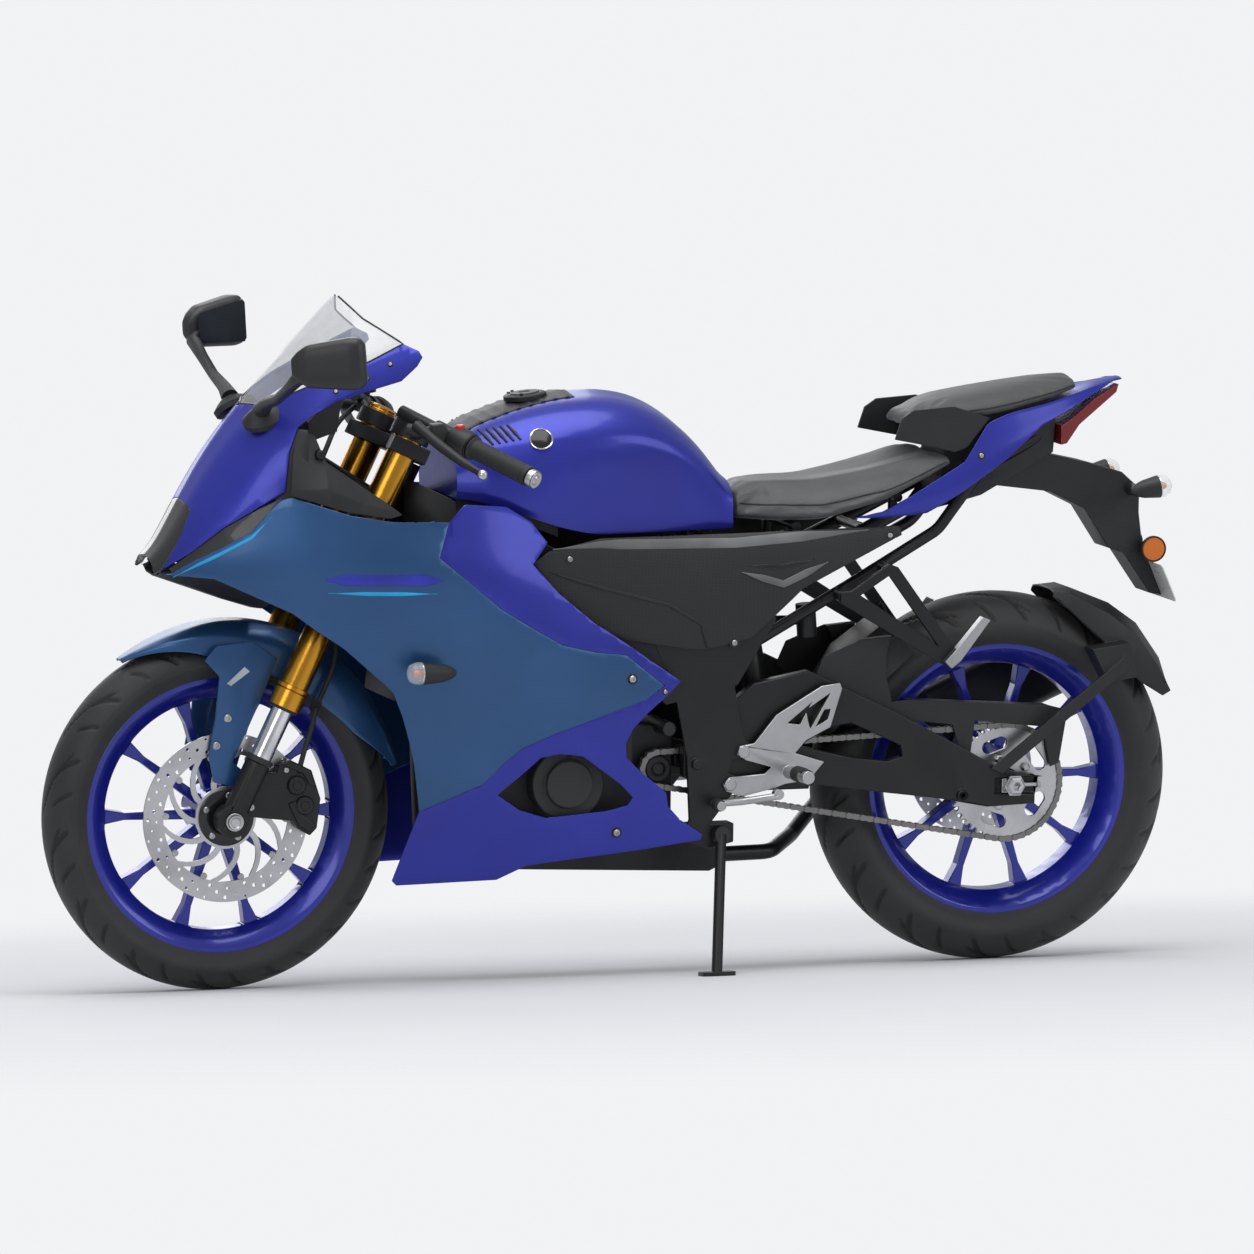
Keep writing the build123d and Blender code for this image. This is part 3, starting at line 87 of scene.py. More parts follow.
class Body(Enum):
    """The bodies of the machine that pieces ride on."""

    FRAME = "frame"
    STEERING = "steering"
    FRONT_WHEEL = "front_wheel_set"
    REAR_WHEEL = "rear_wheel_set"
    STAND = "stand"


# ---------------- shader expressions


@dataclass
class Signal:
    """A socket of a node tree that is used as a number in an expression."""

    graph: "Graph"
    socket: bpy.types.NodeSocket

    def _combine(self, operation: str, first: Any, second: Any) -> "Signal":
        """The result of a Math node on two signals or numbers."""
        return self.graph.node("ShaderNodeMath", {"operation": operation}, {0: first, 1: second})

    def __add__(self, other: Any) -> "Signal":
        """Sum of this signal and another value."""
        return self._combine("ADD", self, other)

    __radd__ = __add__

    def __sub__(self, other: Any) -> "Signal":
        """This signal less another value."""
        return self._combine("SUBTRACT", self, other)

    def __rsub__(self, other: Any) -> "Signal":
        """Another value less this signal."""
        return self._combine("SUBTRACT", other, self)

    def __mul__(self, other: Any) -> "Signal":
        """Product of this signal and another value."""
        return self._combine("MULTIPLY", self, other)

    __rmul__ = __mul__

    def band(self, low: float, high: float) -> "Signal":
        """Smooth ramp from zero at low to one at high."""
        return self.graph.node(
            "ShaderNodeMapRange",
            {"interpolation_type": "SMOOTHSTEP"},
            {"Value": self, "From Min": low, "From Max": high},
        )


class Graph:
    """A node tree that is filled anew."""

    def __init__(self, tree: bpy.types.NodeTree) -> None:
        """Empties a tree to fill it anew."""
        self.tree = tree
        self.tree.nodes.clear()

    def node(
        self,
        kind: str,
        settings: dict[str, Any] | None = None,
        values: dict[Any, Any] | None = None,
        output: Any = 0,
    ) -> Signal:
        """Adds a node.

        Args:
            kind: The node's type.
            settings: Properties to set first.
            values: Values or signals for its sockets.
            output: The output that is wanted.

        Returns:
            That output as a signal.
        """
        made = self.tree.nodes.new(kind)
        for key, value in (settings or {}).items():
            setattr(made, key, value)
        for key, value in (values or {}).items():
            self.feed(made.inputs[key], value)
        return Signal(self, made.outputs[output])

    def feed(self, socket: bpy.types.NodeSocket, value: Any) -> None:
        """Links a signal to a socket or sets its value.

        Args:
            socket: The socket.
            value: A signal, number, colour or vector.
        """
        if isinstance(value, Signal):
            self.tree.links.new(value.socket, socket)
        elif isinstance(value, tuple) and socket.type == "RGBA" and len(value) == 3:
            socket.default_value = (*value, 1.0)
        else:
            socket.default_value = value


class Shader(Graph):
    """The node tree of one material, with its Principled shader."""

    def __init__(self, name: str) -> None:
        """Starts a material.

        Args:
            name: The material's name.
        """
        self.material = bpy.data.materials.new(name)
        self.material.use_nodes = True
        super().__init__(self.material.node_tree)
        output = self.tree.nodes.new("ShaderNodeOutputMaterial")
        self.surface = self.tree.nodes.new("ShaderNodeBsdfPrincipled")
        self.tree.links.new(self.surface.outputs[0], output.inputs["Surface"])
        self._position: Signal | None = None

    def set(self, **values: Any) -> None:
        """Sets sockets of the Principled shader; an underscore in a name stands for a space."""
        for key, value in values.items():
            self.feed(self.surface.inputs[key.replace("_", " ")], value)

    @property
    def position(self) -> Signal:
        """Place on the machine in metres."""
        if self._position is None:
            self._position = self.node("ShaderNodeTexCoord", None, None, "Object")
        return self._position

    def noise(self, scale: float, detail: float = 2.0) -> Signal:
        """Soft noise from zero to one, with a scale in cells per metre and a count of octaves."""
        values = {"Vector": self.position, "Scale": scale, "Detail": detail}
        return self.node("ShaderNodeTexNoise", None, values)

    def cells(self, scale: float) -> Signal:
        """Distance to the nearest of random points, with a scale in cells per metre."""
        values = {"Vector": self.position, "Scale": scale}
        return self.node("ShaderNodeTexVoronoi", None, values)

    def mix(self, mask: Any, first: Any, second: Any) -> Signal:
        """The mix of two colours by the share of the second."""
        return self.node("ShaderNodeMix", {"data_type": "RGBA"}, {0: mask, 6: first, 7: second}, 2)

    def bump(self, height: Signal, depth: float) -> None:
        """Feeds a height from zero to one, with its real depth in metres, to the surface's normal."""
        self.set(Normal=self.node("ShaderNodeBump", None, {"Height": height, "Distance": depth}))


def shade(colour: Colour, factor: float) -> Colour:
    """A colour with each channel multiplied by a factor."""
    return tuple(min(1.0, channel * factor) for channel in colour)


# ---------------- finishes


@dataclass(frozen=True)
class Finish:
    """A finish that is made as one material; each kind lays its own nodes.
    """

    name: str
    colour: Colour
    slot: str = field(default="", kw_only=True)

    def dress(self, shader: Shader) -> None:
        """Lays the finish's nodes in its material's tree."""
        shader.set(Base_Color=self.colour)

    def build(self) -> bpy.types.Material:
        """Makes the finish's material.

        Returns:
            The material.
        """
        shader = Shader(self.name)
        self.dress(shader)
        return shader.material


@dataclass(frozen=True)
class PanelPaint(Finish):
    """Satin metallic paint on a moulded panel."""

    metallic: float = 0.55
    roughness: float = 0.36
    coat: float = 0.35

    def dress(self, shader: Shader) -> None:
        """Lays the paint's nodes.

        Args:
            shader: The material's node tree.
        """
        flake = shader.cells(2600.0)
        cloud = shader.noise(3.0, 3.0)
        tone = shader.mix(cloud.band(0.3, 0.7), shade(self.colour, 0.86), shade(self.colour, 1.12))
        glint = flake.band(0.25, 0.1) * 0.25
        tone = shader.mix(glint, tone, shade(self.colour, 2.2))
        dust = shader.noise(38.0, 4.0)
        shader.set(
            Base_Color=tone,
            Metallic=self.metallic,
            Roughness=dust * 0.1 + (self.roughness - 0.05),
            Coat_Weight=self.coat,
            Coat_Roughness=0.12,
        )
        shader.bump(shader.noise(420.0, 2.0), 0.00006)


@dataclass(frozen=True)
class Moulding(Finish):
    """Grained black plastic or rubber."""

    roughness: float = 0.5
    grain: float = 900.0
    depth: float = 0.00012
    sheen: float = 0.0

    def dress(self, shader: Shader) -> None:
        """Lays the moulding's nodes.

        Args:
            shader: The material's node tree.
        """
        grain = shader.cells(self.grain)
        wear = shader.noise(9.0, 4.0)
        tone = shader.mix(wear.band(0.35, 0.75), shade(self.colour, 0.8), shade(self.colour, 1.35))
        shader.set(
            Base_Color=tone,
            Roughness=wear * 0.16 + (self.roughness - 0.08),
            Sheen_Weight=self.sheen,
        )
        shader.bump(grain, self.depth)


@dataclass(frozen=True)
class Rubber(Finish):
    """Tyre rubber with painted shade in its grooves, which makes them darker than its crown."""


    def dress(self, shader: Shader) -> None:
        """Lays the rubber's nodes.

        Args:
            shader: The material's node tree.
        """
        # Painted shade: the grooves' colour falls to a tenth of the rubber's as they deepen, read from the
        # groove attribute.
        groove = shader.node("ShaderNodeAttribute", {"attribute_name": "groove"}, None, 2)
        wear = shader.noise(11.0, 4.0)
        crown = shader.mix(wear.band(0.35, 0.75), shade(self.colour, 0.8), shade(self.colour, 1.3))
        shader.set(
            Base_Color=shader.mix(groove.band(0.1, 0.6), crown, shade(self.colour, 0.1)),
            Roughness=wear * 0.14 + 0.5,
            Sheen_Weight=0.08,
        )
        shader.bump(shader.cells(520.0), 0.0002)


@dataclass(frozen=True)
class Metalwork(Finish):
    """Bare, coated or brushed metal."""

    roughness: float = 0.3
    metallic: float = 1.0
    grain: float = 260.0
    depth: float = 0.00008

    def dress(self, shader: Shader) -> None:
        """Lays the metal's nodes.

        Args:
            shader: The material's node tree.
        """
        grain = shader.noise(self.grain, 4.0)
        stain = shader.noise(14.0, 4.0)
        tone = shader.mix(stain.band(0.4, 0.8), self.colour, shade(self.colour, 0.72))
        shader.set(
            Base_Color=tone,
            Metallic=self.metallic,
            Roughness=grain * 0.14 + stain * 0.08 + (self.roughness - 0.11),
        )
        shader.bump(grain, self.depth)


@dataclass(frozen=True)
class Lens(Finish):
    """Clear or tinted moulded lens."""

    alpha: float = 0.35
    roughness: float = 0.06

    def dress(self, shader: Shader) -> None:
        """Lays the lens's nodes.

        Args:
            shader: The material's node tree.
        """
        haze = shader.noise(22.0, 3.0)
        shader.set(
            Base_Color=shader.mix(haze.band(0.3, 0.8), self.colour, shade(self.colour, 0.82)),
            Roughness=haze * 0.05 + self.roughness,
            Alpha=haze * 0.06 + self.alpha,
            Coat_Weight=0.6,
            Coat_Roughness=0.03,
        )
        shader.bump(haze, 0.00004)


@dataclass(frozen=True)
class Weave(Finish):
    """Black plastic with a fine woven relief."""

    def dress(self, shader: Shader) -> None:
        """Lays the plastic's nodes.

        Args:
            shader: The material's node tree.
        """
        checks = []
        for phase in (0.0, 0.5):
            values = {"Vector": shader.position, "Scale": 130.0, "Phase Offset": phase * math.tau}
            settings = {"bands_direction": "X" if phase else "Z"}
            checks.append(shader.node("ShaderNodeTexWave", settings, values, 1))
        relief = checks[0] * checks[1]
        wear = shader.noise(7.0, 3.0)
        tone = shader.mix(relief * 0.6 + wear * 0.3, shade(self.colour, 0.7), shade(self.colour, 1.9))
        shader.set(
            Base_Color=tone,
            Roughness=wear * 0.1 + 0.42,
        )
        shader.bump(relief, 0.0002)


FINISHES: dict[str, Finish] = {
    "blue_panel": PanelPaint("blue_paint", (0.022, 0.029, 0.34)),
    "teal_panel": PanelPaint("teal_paint", (0.022, 0.088, 0.235)),
    "wheel_blue": PanelPaint("wheel_paint", (0.009, 0.016, 0.3), 0.4, 0.3, 0.7),
    "black_trim": Moulding("black_moulding", (0.011, 0.011, 0.012)),
    "mirror_shell": Moulding("mirror_moulding", (0.02, 0.02, 0.021), 0.42),
    "frame_black": Metalwork("frame_paint", (0.01, 0.01, 0.011), 0.4, 0.2),
    "engine_alloy": Metalwork("engine_paint", (0.03, 0.03, 0.032), 0.5, 0.35, 700.0, 0.0002),
    "exhaust": Metalwork("exhaust_coat", (0.025, 0.025, 0.028), 0.36, 0.7),
    "alloy": Metalwork("cast_alloy", (0.5, 0.5, 0.51), 0.36, 1.0, 700.0, 0.00006),
    "disc_steel": Metalwork("disc_steel", (0.56, 0.56, 0.57), 0.3, 1.0, 90.0, 0.00001),
    "chain_steel": Metalwork("chain_steel", (0.24, 0.235, 0.23), 0.36),
    "chrome": Metalwork("chrome", (0.75, 0.75, 0.77), 0.14),
    "gold": Metalwork("gold_anodise", (0.62, 0.3, 0.035), 0.24),
    "rubber": Moulding("black_rubber", (0.017, 0.017, 0.017), 0.62, 1200.0, 0.0002),
    "tyre": Rubber("tyre_rubber", (0.017, 0.017, 0.0175)),
    "seat": Moulding("seat_vinyl", (0.045, 0.045, 0.046), 0.46, 620.0, 0.0003, 0.15),
    "plate": Moulding("blank_plate", (0.62, 0.62, 0.62), 0.4, 700.0, 0.00005),
    "gloss_black": Moulding("gloss_moulding", (0.012, 0.012, 0.013), 0.16, 300.0, 0.00003, slot="black_trim"),
    "grey_trim": Moulding("grey_moulding", (0.12, 0.12, 0.122), 0.42, 700.0, 0.00006, slot="black_trim"),
    "weave": Weave("woven_moulding", (0.009, 0.009, 0.0095), slot="black_trim"),
    "mark_pale": Moulding("pale_mark", (0.45, 0.5, 0.56), 0.4, 700.0, 0.00003, slot="teal_panel"),
    "mark_blue": Moulding("blue_mark", (0.02, 0.03, 0.4), 0.35, 700.0, 0.00003, slot="teal_panel"),
    "mark_cyan": Moulding("cyan_mark", (0.01, 0.38, 0.75), 0.35, 700.0, 0.00003, slot="teal_panel"),
    "red_button": Moulding("red_button", (0.6, 0.02, 0.02), 0.35, 700.0, 0.00003, slot="black_trim"),
    "mirror_glass": Metalwork(
        "mirror_glass", (0.05, 0.055, 0.065), 0.1, 1.0, 60.0, 0.00001, slot="mirror_shell"
    ),
    "screen": Lens("clear_screen", (0.62, 0.64, 0.66), 0.2, 0.04),
    "lamp_glass": Lens("dark_glass", (0.008, 0.008, 0.009), 0.94, 0.28),
    "lamp_red": Lens("red_lens", (0.2, 0.004, 0.004), 0.96, 0.2),
    "amber": Lens("amber_lens", (0.7, 0.17, 0.01), 0.95),
    "signal": Lens("signal_lens", (0.9, 0.9, 0.9), 0.24, 0.1),
}


class FinishRack:
    """Makes each material once and hands it out by slot."""

    def __init__(self) -> None:
        """Starts with no material made."""
        self._made: dict[str, bpy.types.Material] = {}

    def get(self, slot: str) -> bpy.types.Material:
        """The material of a slot.

        Args:
            slot: The slot's name.

        Returns:
            The material.
        """
        if slot not in self._made:
            self._made[slot] = FINISHES[slot].build()
        return self._made[slot]

    def dress_nodes(self) -> None:
        """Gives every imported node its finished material."""
        slots = {m["slot"] for m in frame["record"]["materials"]}
        for sub in frame["record"]["subparts"]:
            slot = sub["material_slot"]
            node = frame["nodes"][sub["node"]]
            if slot not in slots:
                raise ValueError(f"{node.name} has no known slot")
            node.data.materials.clear()
            node.data.materials.append(self.get(slot))


# ---------------- meshes

Section = tuple[tuple[float, float], ...]
Stations = tuple[tuple[float, Section], ...]
Outline = tuple[tuple[float, float], ...]

MM = 0.001
RAKE = math.radians(25.5)
STEER_UP = Vector((-math.sin(RAKE), 0, math.cos(RAKE)))
STEER_AHEAD = Vector((math.cos(RAKE), 0, math.sin(RAKE)))
FRONT_AXLE = Vector((680, 0, 296.4))
REAR_AXLE = Vector((-680, 0, 314.6))
LEG_SPREAD = 95.0
SIDES = (1, -1)
LEFT = (0, 1, 0)
UP = (0, 0, 1)

# How finely the panels are cut: a step down a section as it lies flat, the cells, and an outline's steps.
FLAT_STEP = 60.0
CELLS = (11.0, FLAT_STEP * 0.14)
OUTLINE_STEP = 9.0
SHORTEST = 0.5
SEARCH_STEPS = 48
BODY_MIDDLE = 520.0

# How close two points merge, in millimetres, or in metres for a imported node.
MERGE = 0.02
PANEL_MERGE = 1.4
LENS_MERGE = 0.8
NODE_MERGE = 0.00002
FLAT_ANGLE = math.radians(1.2)

# The lamp's reach from the centre plane and to the rear, and how far the fold lies behind the cowl.
LAMP_HALF = 64.0
LAMP_BACK = 722.0
FOLD_DEPTH = 5.0

# The rounding of thin sheets, and how many steps a tyre is spun in.
SHEET_ROUNDING = 0.9
SHEET_SHARP = 55.0
FULL_STEPS = 720


def fork_point(along: float, side: float) -> Vector:
    """A place up a fork leg from the axle; side is 1 for the left leg and -1 for the right."""
    return FRONT_AXLE + Vector((0, side * LEG_SPREAD, 0)) + STEER_UP * along


def circle(count: int, radius: float = 1.0, start: float = 0.0) -> list[tuple[float, float]]:
    """Places evenly round a circle, from its centre; start is the angle of the first."""
    turns = [math.tau * index / count + start for index in range(count)]
    return [(radius * math.cos(turn), radius * math.sin(turn)) for turn in turns]


def bolt_circle(seat: Vector, count: int, radius: float, out: float, start: float = 0.0) -> list[Vector]:
    """Places evenly round an axle, at a distance out to the left of the seat."""
    return [seat + Vector((ahead, out, up)) for ahead, up in circle(count, radius, start)]


def smooth_line(points: Sequence[Any], steps: int) -> list[Vector]:
    """A smooth curve through given points.

    Args:
        points: The points it passes.
        steps: Parts between two points.

    Returns:
        The curve's points.
    """
    line = [Vector(point) for point in points]
    line = [line[0] * 2 - line[1], *line, line[-1] * 2 - line[-2]]
    curve = []
    for before, start, end, after in zip(line, line[1:], line[2:], line[3:]):
        for step in range(steps):
            share = step / steps
            bend = before * 2 - start * 5 + end * 4 - after
            twist = start * 3 - before - end * 3 + after
            curve.append((start * 2 + (end - before) * share + bend * share**2 + twist * share**3) * 0.5)
    return [*curve, line[-2]]


class Shape:
    """A mesh under way, in the upright frame and in millimetres."""

    def __init__(self) -> None:
        """Starts empty."""
        self.grid = bmesh.new()

    def tube(self, points: Sequence[Any], radii: Any, steps: int = 12) -> "Shape":
        """Adds a closed round piece along a line.

        Args:
            points: The line's points.
            radii: One radius, or one for each point.
            steps: Corners of the section.

        Returns:
            The shape.
        """
        line = [Vector(point) for point in points]
        sizes = list(radii) if isinstance(radii, (list, tuple)) else [radii] * len(line)
        rings = []
        for index, (point, size) in enumerate(zip(line, sizes)):
            way = line[min(index + 1, len(line) - 1)] - line[max(index - 1, 0)]
            turn = way.to_track_quat("Z", "Y").to_matrix().to_4x4()
            made = bmesh.ops.create_circle(
                self.grid, cap_ends=index in (0, len(line) - 1), segments=steps, radius=size,
                matrix=Matrix.Translation(point) @ turn,
            )
            edges = {edge for vert in made["verts"] for edge in vert.link_edges}
            rings.append([edge for edge in edges if all(v in made["verts"] for v in edge.verts)])
        for low, high in zip(rings, rings[1:]):
            bmesh.ops.bridge_loops(self.grid, edges=low + high)
        return self

    def lathe(self, profile: Outline, centre: Any, way: Any, steps: int = 24) -> "Shape":
        """Adds a turned piece.

        Args:
            profile: Radius and height of each corner.
            centre: Where height is zero.
            way: The axis.
            steps: Steps of the full turn.

        Returns:
            The shape.
        """
        axis = Vector(way).normalized()
        turn = axis.to_track_quat("Z", "Y").to_matrix().to_4x4()
        place = Matrix.Translation(Vector(centre)) @ turn
        verts = [self.grid.verts.new(place @ Vector((r, 0, h))) for r, h in profile]
        edges = [self.grid.edges.new(pair) for pair in zip(verts, verts[1:])]
        bmesh.ops.spin(
            self.grid, geom=verts + edges, cent=Vector(centre), axis=axis, angle=math.tau, steps=steps,
            use_merge=True
        )
        return self

    def slab(self, outline: Outline, near: float, far: float, bevel: float = 0.0) -> "Shape":
        """Adds a flat plate between two distances from the centre plane.

        Args:
            outline: Its (x, z) corners.
            near: One distance.
            far: The other distance.
            bevel: Width of the rounded edges.

        Returns:
            The shape.
        """
        verts = [self.grid.verts.new((x, near, z)) for x, z in outline]
        moved = self.grow([self.grid.faces.new(verts)], (0, far - near, 0))
        if bevel:
            edges = list({edge for vert in verts + moved for edge in vert.link_edges})
            bmesh.ops.bevel(
                self.grid, geom=edges, offset=bevel, segments=2, profile=0.5, affect="EDGES", material=-1
            )
        return self

    def pierced(self, loops: Sequence[Outline], near: float, far: float) -> "Shape":
        """Adds a flat plate with openings between two distances from the centre plane.

        Args:
            loops: The (x, z) corners of its outline and of each opening.
            near: One distance.
            far: The other distance.

        Returns:
            The shape.
        """
        edges = []
        for loop in loops:
            verts = [self.grid.verts.new((x, near, z)) for x, z in loop]
            edges += [self.grid.edges.new(pair) for pair in zip(verts, verts[1:] + verts[:1])]
        made = bmesh.ops.triangle_fill(self.grid, use_beauty=True, use_dissolve=True, edges=edges)
        faces = [item for item in made["geom"] if isinstance(item, bmesh.types.BMFace)]
        self.grow(faces, (0, far - near, 0))
        return self

    def grow(self, faces: Sequence[bmesh.types.BMFace], way: Any) -> list[bmesh.types.BMVert]:
        """Gives flat faces a depth.

        Args:
            faces: The faces.
            way: How far they grow, and which way.

        Returns:
            The vertices that moved.
        """
        grown = bmesh.ops.extrude_face_region(self.grid, geom=faces)
        moved = [item for item in grown["geom"] if isinstance(item, bmesh.types.BMVert)]
        bmesh.ops.translate(self.grid, verts=moved, vec=way)
        return moved

    def hull(self, rows: Sequence[Sequence[Any]]) -> "Shape":
        """Adds a closed solid through rings of points.

        Args:
            rows: The rings, each with the same count of points.

        Returns:
            The shape.
        """
        rings = [[self.grid.verts.new(point) for point in row] for row in rows]
        for first, second in zip(rings, rings[1:]):
            for index, vert in enumerate(first):
                after = (index + 1) % len(first)
                self.grid.faces.new((vert, second[index], second[after], first[after]))
        for ring in (rings[0], rings[-1]):
            self.grid.faces.new(ring)
        return self

    def sheet(self, rows: Sequence[Sequence[Any]], way: Any) -> "Shape":
        """Adds an open sheet through rows of points.

        Args:
            rows: The rows, each with the same count of points.
            way: The way most of its faces look.

        Returns:
            The shape.
        """
        grid = self.grid
        strips = [[grid.verts.new(point) for point in row] for row in rows]
        for low, high in zip(strips, strips[1:]):
            for index in range(len(low) - 1):
                grid.faces.new((low[index], high[index], high[index + 1], low[index + 1]))
        grid.normal_update()
        if sum(face.normal.dot(Vector(way)) for face in grid.faces) < 0.0:
            bmesh.ops.reverse_faces(grid, faces=grid.faces)
        return self

    def ball(self, centre: Any, radius: float, stretch: Point = (1, 1, 1)) -> "Shape":
        """Adds a ball.

        Args:
            centre: Its centre.
            radius: Its radius.
            stretch: Scale along each axis.

        Returns:
            The shape.
        """
        place = Matrix.Translation(Vector(centre)) @ Matrix.Diagonal((*stretch, 1))
        bmesh.ops.create_uvsphere(self.grid, u_segments=20, v_segments=12, radius=radius, matrix=place)
        return self

    def screw(self, place: Any, way: Any, size: float = 5.0) -> "Shape":
        """Adds the head of a socket screw on a seat; size is the head's radius."""
        profile = ((0, 0.25), (0.42, 0.25), (0.42, 0.62), (0.78, 0.6), (1, 0.36), (1, -0.3))
        return self.lathe(tuple((r * size, h * size) for r, h in profile), place, way, 14)

    def mirrored(self) -> "Shape":
        """Adds the right side's image of all made so far.

        Returns:
            The shape.
        """
        kept = list(self.grid.verts) + list(self.grid.edges) + list(self.grid.faces)
        made = bmesh.ops.duplicate(self.grid, geom=kept)["geom"]
        verts = [item for item in made if isinstance(item, bmesh.types.BMVert)]
        bmesh.ops.scale(self.grid, verts=verts, vec=(1, -1, 1))
        bmesh.ops.reverse_faces(self.grid, faces=[f for f in made if isinstance(f, bmesh.types.BMFace)])
        return self


@dataclass(frozen=True)
class Skin:
    """A smooth surface through a table of stations along the machine."""

    rows: Stations
    ease_x: float = 30.0
    ease_v: float = 0.26

    def _plain(self, x: float, v: float) -> tuple[float, float]:
        """The (y, z) of the table before it is smoothed.

        Args:
            x: Place along the machine.
            v: Place down the section.

        Returns:
            The distance out and the height.
        """
        rows = self.rows
        x = min(max(x, min(rows[0][0], rows[-1][0])), max(rows[0][0], rows[-1][0]))
        for (xa, low), (xb, high) in zip(rows, rows[1:]):
            if min(xa, xb) <= x <= max(xa, xb):
                break
        share = (x - xa) / (xb - xa)
        slot = min(max(int(math.floor(v)), 0), len(low) - 2)
        rest = v - slot
        ends = []
        for point in (slot, slot + 1):
            ends.append([a + (b - a) * share for a, b in zip(low[point], high[point])])
        return tuple(a + (b - a) * rest for a, b in zip(*ends))

    def at(self, x: float, v: float) -> tuple[float, float]:
        """The smooth (y, z) at a place.

        Args:
            x: Place along the machine.
            v: Place down the section, one step for each corner.

        Returns:
            The distance out and the height.
        """
        total_y = total_z = 0.0
        for step_x in (-1, -0.5, 0, 0.5, 1):
            for step_v in (-1, 0, 1):
                y, z = self._plain(x + step_x * self.ease_x, v + step_v * self.ease_v)
                total_y += y
                total_z += z
        return total_y / 15, total_z / 15

    def down(self, x: float, z: float) -> float:
        """The place down the section at a height.

        Args:
            x: Place along the machine.
            z: The height.

        Returns:
            The place, kept within the section.
        """
        last = len(self.rows[0][1]) - 1
        heights = [self.at(x, last * i / SEARCH_STEPS)[1] for i in range(SEARCH_STEPS + 1)]
        if z >= heights[0]:
            return 0.0
        for index, (high, low) in enumerate(zip(heights, heights[1:])):
            if low <= z <= high:
                return last * (index + (high - z) / max(high - low, 0.001)) / SEARCH_STEPS
        return float(last)

    def point(self, x: float, z: float, out: float = 0.0, side: float = 1.0) -> Vector:
        """A place at a height on the surface, or a distance out of it; side is -1 on the right."""
        place = Vector((x, *self.at(x, self.down(x, z)))) + self.normal(x, z) * out
        return Vector((place.x, place.y * side, place.z))

    def normal(self, x: float, z: float, side: float = 1.0) -> Vector:
        """The way out of the surface at a place.

        Args:
            x: Place along the machine.
            z: The height.
            side: 1 for the left and -1 for the right.

        Returns:
            The unit vector.
        """
        v = self.down(x, z)
        along = Vector((16, *(b - a for a, b in zip(self.at(x - 8, v), self.at(x + 8, v)))))
        across = Vector((0, *(b - a for a, b in zip(self.at(x, v - 0.1), self.at(x, v + 0.1)))))
        way = along.cross(across).normalized()
        way = -way if way.y < 0.0 else way
        return Vector((way.x, way.y * side, way.z))

    def body(self, step: float, count: int) -> Shape:
        """The closed solid within the stations and their mirror image.

        Args:
            step: Distance between its sections.
            count: Corners down one half of a section.

        Returns:
            The solid.
        """
        low, high = sorted((self.rows[0][0], self.rows[-1][0]))
        last = len(self.rows[0][1]) - 1
        total = max(2, int((high - low) / step))
        rings = []
        for index in range(total + 1):
            x = low + (high - low) * index / total
            half = [self.at(x, last * i / count) for i in range(count + 1)]
            section = [(max(y, 0), z) for y, z in half] + [(-max(y, 0), z) for y, z in reversed(half)]
            rings.append([(x, y, z) for y, z in section])
        return Shape().hull(rings)

    def panel(self, outline: Outline, hole: Outline = ()) -> Shape:
        """The part of the surface that lies within an outline in side view.

        Args:
            outline: The (x, z) corners.
            hole: Corners of an opening.

        Returns:
            The open left panel.
        """
        shape = Shape()
        loops = [self._flat_loop(shape.grid, corners) for corners in (outline, hole) if corners]
        if hole:
            bmesh.ops.triangle_fill(shape.grid, use_beauty=True, edges=[e for loop in loops for e in loop[1]])
        else:
            shape.grid.faces.new(loops[0][0])
        spans = [[vert.co[axis] for vert in shape.grid.verts] for axis in (0, 1)]
        for axis, span in enumerate(spans):
            for index in range(1, int((max(span) - min(span)) / CELLS[axis]) + 1):
                origin = [0.0, 0.0, 0.0]
                way = [0.0, 0.0, 0.0]
                origin[axis] = min(span) + index * CELLS[axis]
                way[axis] = 1.0
                parts = list(shape.grid.verts) + list(shape.grid.edges) + list(shape.grid.faces)
                bmesh.ops.bisect_plane(shape.grid, geom=parts, dist=MERGE, plane_co=origin, plane_no=way)
        for vert in shape.grid.verts:
            y, z = self.at(vert.co.x, vert.co.y / FLAT_STEP)
            vert.co = (vert.co.x, y, z)
        bmesh.ops.remove_doubles(shape.grid, verts=shape.grid.verts, dist=PANEL_MERGE)
        shape.grid.normal_update()
        facing = 0.0
        for face in shape.grid.faces:
            middle = face.calc_center_median()
            outwards = middle - Vector((middle.x, 0, BODY_MIDDLE))
            facing += face.calc_area() * face.normal.dot(outwards)
        if facing < 0.0:
            bmesh.ops.reverse_faces(shape.grid, faces=shape.grid.faces)
        return shape

    def _flat_loop(self, grid: bmesh.types.BMesh, corners: Outline) -> tuple[list, list]:
        """Lays a side-view outline out flat over the section.

        Args:
            grid: The mesh that takes it.
            corners: The (x, z) corners.

        Returns:
            Its vertices and edges.
        """
        low, high = sorted((self.rows[0][0], self.rows[-1][0]))
        verts = []
        for (xa, za), (xb, zb) in zip(corners, corners[1:] + corners[:1]):
            count = max(1, int(math.hypot(xb - xa, zb - za) / OUTLINE_STEP))
            for step in range(count):
                x = min(max(xa + (xb - xa) * step / count, low), high)
                z = za + (zb - za) * step / count
                spot = Vector((x, self.down(x, z) * FLAT_STEP, 0))
                if not verts or (verts[-1].co - spot).length > SHORTEST:
                    verts.append(grid.verts.new(spot))
        if (verts[0].co - verts[-1].co).length < SHORTEST:
            grid.verts.remove(verts.pop())
        edges = [grid.edges.new((a, b)) for a, b in zip(verts, verts[1:] + verts[:1])]
        return verts, edges


